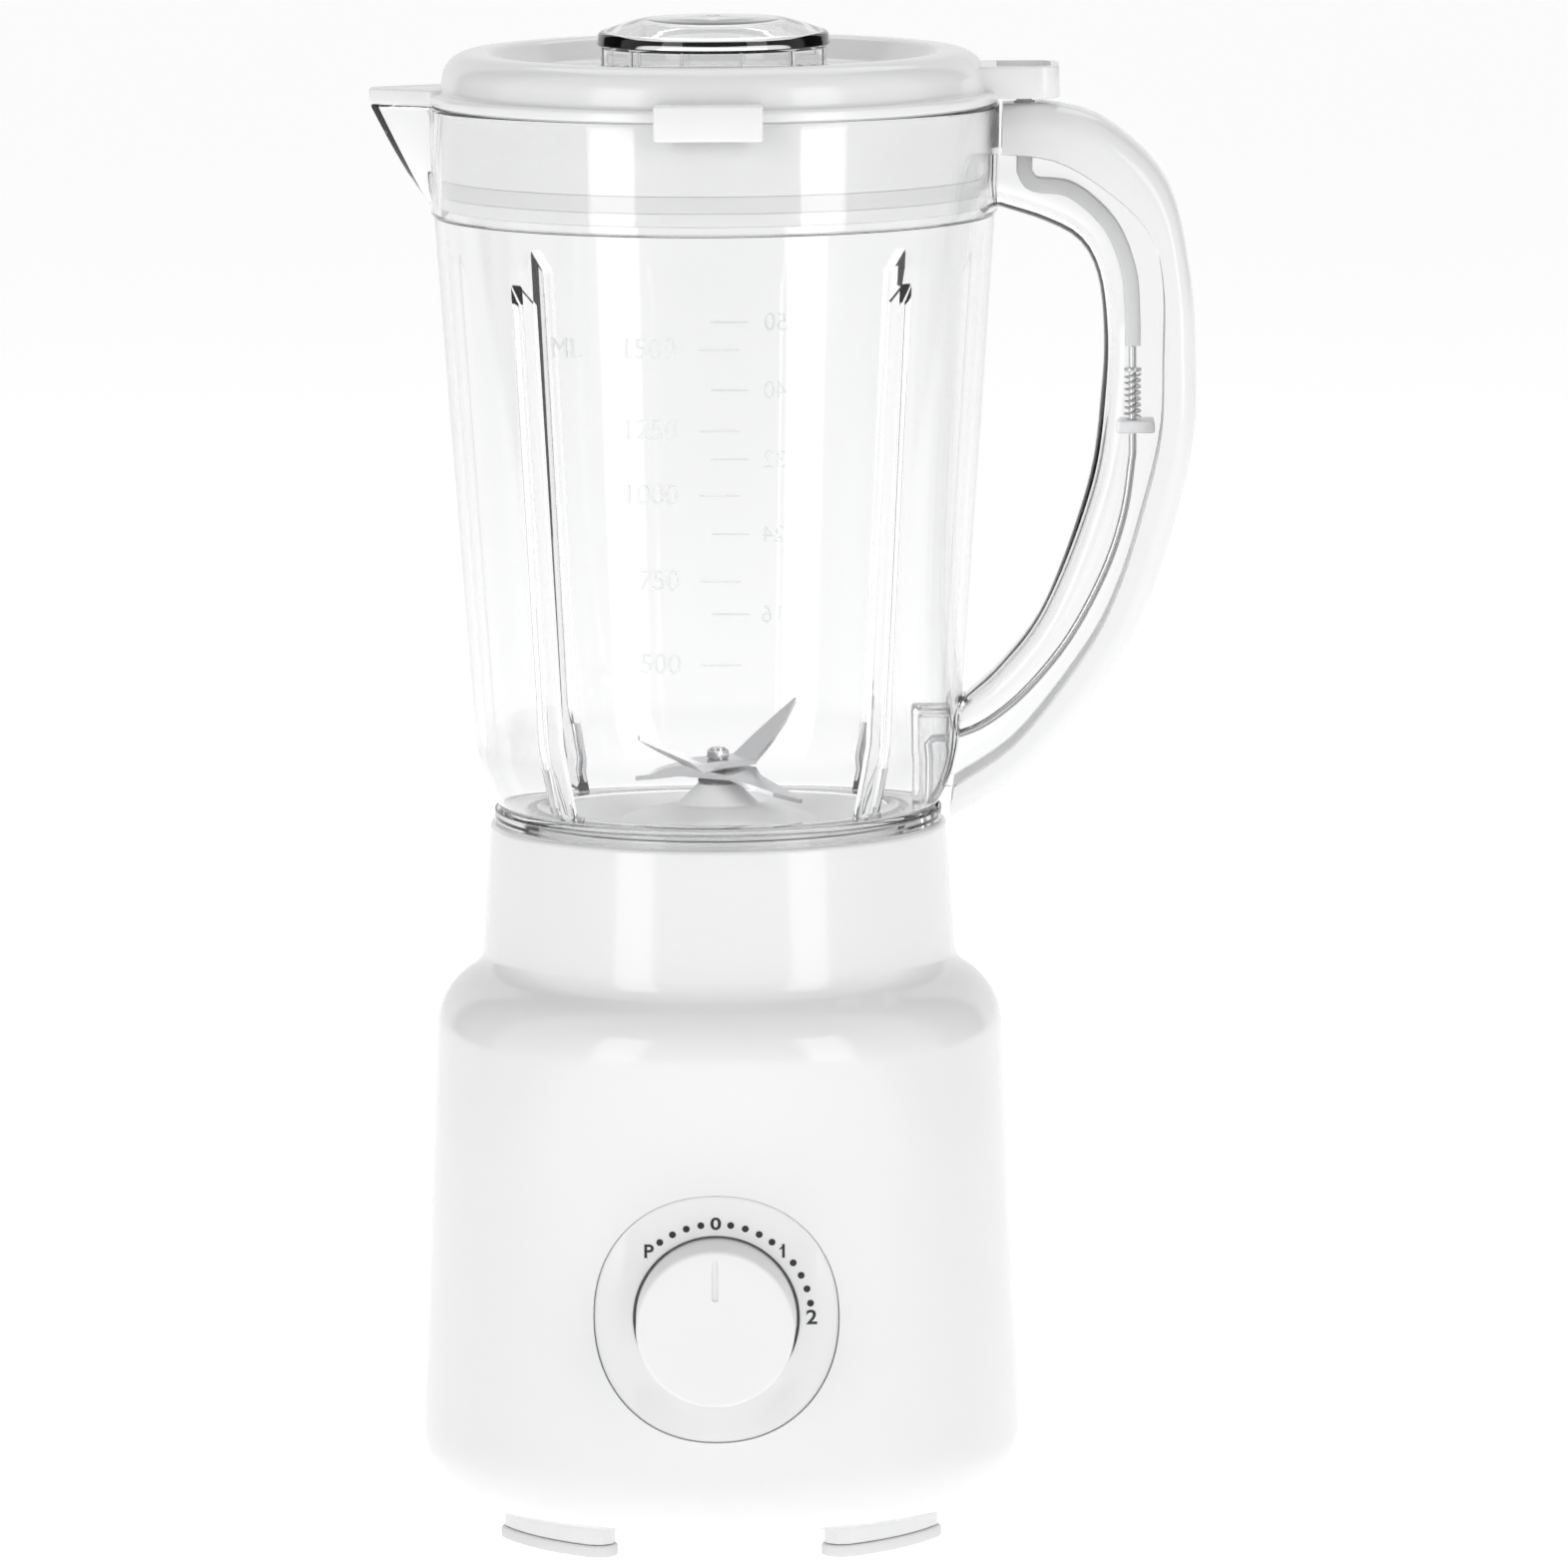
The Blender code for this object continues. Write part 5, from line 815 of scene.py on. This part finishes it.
def make_blade(name, low, azimuth, rises, node):
    """A steel strip with two pointed wings, bent at their roots and ground along the edges."""
    wing = [(0.0, -5.5), (8.0, -5.5), (13.5, -4.4), (19.5, -2.0), (25.0, 1.95), (25.0, 2.85), (19.5, 3.9),
            (13.5, 4.9), (8.0, 5.5), (0.0, 5.5)]
    blank = plate(wing[1:-1] + [(-x, -y) for x, y in wing[1:-1]], 0, 1.2)
    for x in (-20, -16, -12, -8, 8, 12, 16, 20):
        bmesh.ops.bisect_plane(blank, geom=blank.verts[:] + blank.edges[:] + blank.faces[:],
                               plane_co=(x, 0, 0), plane_no=(1, 0, 0))
    ground = [edge for edge in blank.edges
              if all(vert.co.z > 1.1 for vert in edge.verts) and len(edge.link_faces) == 2
              and edge.calc_face_angle(0) > 1.0 and max(abs(vert.co.x) for vert in edge.verts) > 8.5]
    bmesh.ops.bevel(blank, geom=ground, offset=0.85, offset_type="OFFSET", affect="EDGES", segments=1,
                    profile=0.5, material=-1, clamp_overlap=True)
    for vert in blank.verts:
        rise = rises[0] if vert.co.x > 0 else rises[1]
        vert.co.z += low + max(abs(vert.co.x) - 8.0, 0.0) * math.tan(math.radians(rise))
    swung(blank, azimuth)
    make_piece(name, blank, blade_steel, "blades", [node], sharp=12,
               tools=[("DIFFERENCE", bare_object("blade_hole", drum(2.3, low - 2, low + 4)))])


# ---------------------------------------------------------------- lid and measuring cup
def make_lid():
    fit, groove = 69.5, RIM - 18

    def skirt(z):
        return fit - 0.0262 * (RIM - z)

    low, seal = groove - 4.2, skirt(groove) - 1.1
    crest, floor = RIM + 13.2, RIM + 7
    outer = [
        (27.0, floor, 0.6), (51.0, floor, 4), (57.0, crest, 3), (67.8, crest, 7), (fit - 0.2, RIM + 3.3, 1.2),
        (72.0, RIM + 3.3, 1.1), (72.0, RIM + 0.3, 0.6), (fit, RIM + 0.3, 0.3), (skirt(groove), groove, 0.3),
        (seal, groove, 0), (seal, low, 0), (skirt(low), low, 0.3), (skirt(RIM - 25.7), RIM - 25.7, 0.6),
        (skirt(RIM - 25.7) - 2.3, RIM - 25.7, 0.6), (fit - 2.4, RIM + 3.3, 0), (62.8, crest - 2.4, 2),
        (58.4, crest - 2.4, 1), (52.5, floor - 2.4, 1), (29.4, floor - 2.4, 0.5), (29.4, floor - 12, 0.5),
        (27.0, floor - 12, 0.5)]
    path = rounded_path(outer, 7, closed=True)
    lid = turned(filled_in(path + [path[0]], 7.0)[:-1], 160, loop=True)

    lip = rounded_path([(-66.0, -10.5, 0), (-71.5, -10.5, 3), (-87.1, -2.6, 1.6), (-87.1, 2.6, 1.6),
                        (-71.5, 10.5, 3), (-66.0, 10.5, 0)], 6)
    extras = [softened(plate(lip, RIM + 0.3, RIM + 4.2), 0.7, 4, 40)]
    for side in (-1, 1):
        hook = [(side * 66.9, RIM + 1), (side * 72.9, RIM + 1), (side * 72.9, RIM - 4),
                (side * 76.0, RIM - 4), (side * 76.0, RIM + 5), (side * 66.9, RIM + 5)]
        extras.append(softened(plate(hook, -13.5, 13.5, "yz"), 0.8, 4, 60))

    def tray(inset, low, high, inner_x):
        reach, width = 87.4 - inset, 12.0 - inset
        return plate(rounded_path([(inner_x, -width, 0), (reach, -width, 6 - inset),
                                   (reach, width, 6 - inset), (inner_x, width, 0)], 8), low, high)

    extras.append(softened(tray(0, RIM + 1.4, RIM + 9.5, 66.5), 0.5, 3, 60))
    tools = [("UNION", bare_object(f"lid_extra_{index}", bm)) for index, bm in enumerate(extras)]
    tray_room = softened(tray(2.2, RIM + 3.2, RIM + 13.5, 71.5), 0.5, 3, 60)
    tools.append(("DIFFERENCE", bare_object("tray_room", tray_room)))
    tongue = softened(block(76.5, 80.5, -2, 2, RIM - 2.4, RIM + 2.4), 0.3, 2)
    tools.append(("UNION", bare_object("lid_tongue", tongue)))
    make_piece("lid_shell", lid, gloss_white, "lid", ["lid"], sharp=40, tools=tools)

    outside = skirt(low) + 0.05
    ring = rounded_path([(seal + 0.3, low + 0.05, 0.1), (outside, low + 0.05, 0.05),
                         (outside, groove - 0.05, 0.05), (seal + 0.3, groove - 0.05, 0.1)], 4, closed=True)
    make_piece("lid_seal", turned(ring, 128, loop=True), seal_rubber, "lid", ["lid_gasket"])


def make_cup():
    rest, top = RIM + 7.3, RIM + 22
    low = rest - 22
    profile = rounded_path([
        (0, top - 0.35, 0), (1.2, top - 0.35, 0.1), (1.6, top - 0.02, 0.1), (19, top - 0.7, 20),
        (29.1, top - 4.0, 1.6), (29.5, RIM + 15, 0.4), (28.6, RIM + 14.2, 0.3), (28.6, rest, 0.3),
        (26.6, rest, 0.2), (26.1, low, 0.8), (24.3, low, 0.8), (24.8, rest - 1, 1.0), (26.8, rest + 2, 1.0),
        (26.8, RIM + 14.5, 0.5), (18, top - 3.2, 8), (0, top - 2.6, 0)], 6)
    cup = turned(filled_in(profile, 6.0), 128)
    ribs = [swung(softened(block(27.6, 28.95, -0.45, 0.45, rest + 0.2, RIM + 14.4), 0.2, 2), 30 * index + 15)
            for index in range(12)]
    make_piece("cup_clear", cup, clear, "cup", ["measuring_cup"],
               tools=[("UNION", bare_object("cup_ribs", gathered(ribs)))])


# ---------------------------------------------------------------- cord outlet at the back
def make_gland():
    skin = base_half_width(34.0) * DEPTH_SHARE
    end = 76.62
    profile = rounded_path([
        (3.3, skin - 8, 0.0), (7.5, skin - 8, 0.4), (7.5, skin - 3.7, 0.3), (5.0, skin - 3.7, 0.0),
        (5.0, skin + 0.8, 0.0), (7.5, skin + 0.8, 0.4), (6.7, end, 1.0), (3.3, end, 0.5)], 5, closed=True)
    bush = turned(profile, 48, loop=True)
    swung(bush, -90, "X")
    make_piece("outlet_bush", shifted(bush, z=34.0), dark_plastic, "base", ["cord_gland"], sharp=30)


make_base()
make_panel()
make_dial_marks()
make_knob()
make_feet()
make_jar_piece()
make_handle_cover()
make_volume_marks()
make_interlock()
make_blade_unit()
make_lid()
make_cup()
make_gland()


# ---------------------------------------------------------------- studio
def plain_stage_surface():
    made = bpy.data.materials.new("pale_studio_floor")
    made.use_nodes = True
    shader = made.node_tree.nodes["Principled BSDF"]
    shader.inputs["Base Color"].default_value = (0.93, 0.93, 0.93, 1)
    shader.inputs["Roughness"].default_value = 0.9
    shader.inputs["Specular IOR Level"].default_value = 0.1
    shader.inputs["Emission Color"].default_value = (1, 1, 1, 1)
    shader.inputs["Emission Strength"].default_value = 0.5
    return made


LENS = 245.4
CAMERA_REACH = 2.7
CAMERA_HEIGHT = 0.575


def make_studio():
    bm = bmesh.new()
    bmesh.ops.create_grid(bm, x_segments=8, y_segments=8, size=9.0)
    mesh = bpy.data.meshes.new("studio_floor")
    bm.to_mesh(mesh)
    bm.free()
    mesh.materials.append(plain_stage_surface())
    floor = bpy.data.objects.new("studio_floor", mesh)
    bpy.context.scene.collection.objects.link(floor)

    def soft_box(name, azimuth, distance, height, width, tall, power):
        light = bpy.data.lights.new(name, "AREA")
        light.shape = "RECTANGLE"
        light.size, light.size_y = width, tall
        light.energy = power
        holder = bpy.data.objects.new(name, light)
        turn = math.radians(azimuth)
        place = Vector((math.sin(turn) * distance, -math.cos(turn) * distance, height))
        holder.location = place
        aim = Vector((0, 0, 0.2)) - place
        holder.rotation_euler = aim.to_track_quat("-Z", "Y").to_euler()
        bpy.context.scene.collection.objects.link(holder)

    soft_box("left_box", -41, 1.5, 0.62, 0.55, 1.15, 5.0)
    soft_box("right_box", 45, 1.5, 0.62, 0.55, 1.15, 5.0)
    soft_box("top_box", 175, 0.9, 1.9, 1.6, 1.2, 7.0)

    world = bpy.data.worlds.new("white_studio")
    bpy.context.scene.world = world
    world.use_nodes = True
    nodes, links = world.node_tree.nodes, world.node_tree.links
    sky = nodes["Background"]
    place = nodes.new("ShaderNodeTexCoord")
    split = nodes.new("ShaderNodeSeparateXYZ")
    links.new(place.outputs["Generated"], split.inputs["Vector"])
    round_about = nodes.new("ShaderNodeMath")
    round_about.operation = "ARCTAN2"
    links.new(split.outputs["X"], round_about.inputs[0])
    toward = nodes.new("ShaderNodeMath")
    toward.operation = "MULTIPLY"
    toward.inputs[1].default_value = -1.0
    links.new(split.outputs["Y"], toward.inputs[0])
    links.new(toward.outputs[0], round_about.inputs[1])
    half = nodes.new("ShaderNodeMath")
    half.operation = "ABSOLUTE"
    links.new(round_about.outputs[0], half.inputs[0])
    share = nodes.new("ShaderNodeMath")
    share.operation = "DIVIDE"
    share.inputs[1].default_value = math.pi
    links.new(half.outputs[0], share.inputs[0])
    walls = nodes.new("ShaderNodeValToRGB")
    levels = [(0.0, 0.36), (0.3, 0.42), (0.5, 0.74), (0.56, 0.76),
              (0.585, 0.05), (0.76, 0.05), (0.79, 0.88), (1.0, 0.88)]
    ramp = walls.color_ramp
    while len(ramp.elements) < len(levels):
        ramp.elements.new(0.5)
    for element, (position, level) in zip(ramp.elements, levels):
        element.position = position
        element.color = (level, level, level, 1)
    links.new(share.outputs[0], walls.inputs["Fac"])
    seen = nodes.new("ShaderNodeLightPath")
    blend = nodes.new("ShaderNodeMix")
    blend.data_type = "FLOAT"
    blend.inputs["B"].default_value = 1.05
    links.new(seen.outputs["Is Camera Ray"], blend.inputs["Factor"])
    links.new(walls.outputs["Color"], blend.inputs["A"])
    links.new(blend.outputs["Result"], sky.inputs["Strength"])
    sky.inputs["Color"].default_value = (1, 1, 1, 1)

    camera = bpy.data.cameras.new("front_camera")
    camera.sensor_width = 36
    camera.lens = LENS
    camera.clip_start, camera.clip_end = 0.1, 40
    holder = bpy.data.objects.new("front_camera", camera)
    turn = math.radians(1.1)
    across = Vector((math.cos(turn), math.sin(turn), 0))
    holder.location = AXIS + Vector((math.sin(turn) * CAMERA_REACH, -math.cos(turn) * CAMERA_REACH,
                                     CAMERA_HEIGHT))
    aim = AXIS + across * 0.0168 + Vector((0, 0, 0.1908)) - holder.location
    holder.rotation_mode = "QUATERNION"
    holder.rotation_quaternion = (aim.to_track_quat("-Z", "Y")
                                  @ Matrix.Rotation(math.radians(-0.32), 4, "Z").to_quaternion())
    bpy.context.scene.collection.objects.link(holder)
    bpy.context.scene.camera = holder
    bpy.context.scene.view_settings.view_transform = "Standard"
    bpy.context.scene.cycles.max_bounces = 24
    bpy.context.scene.cycles.transmission_bounces = 20
    bpy.context.scene.cycles.transparent_max_bounces = 24
    bpy.context.scene.cycles.use_denoising = True


make_studio()
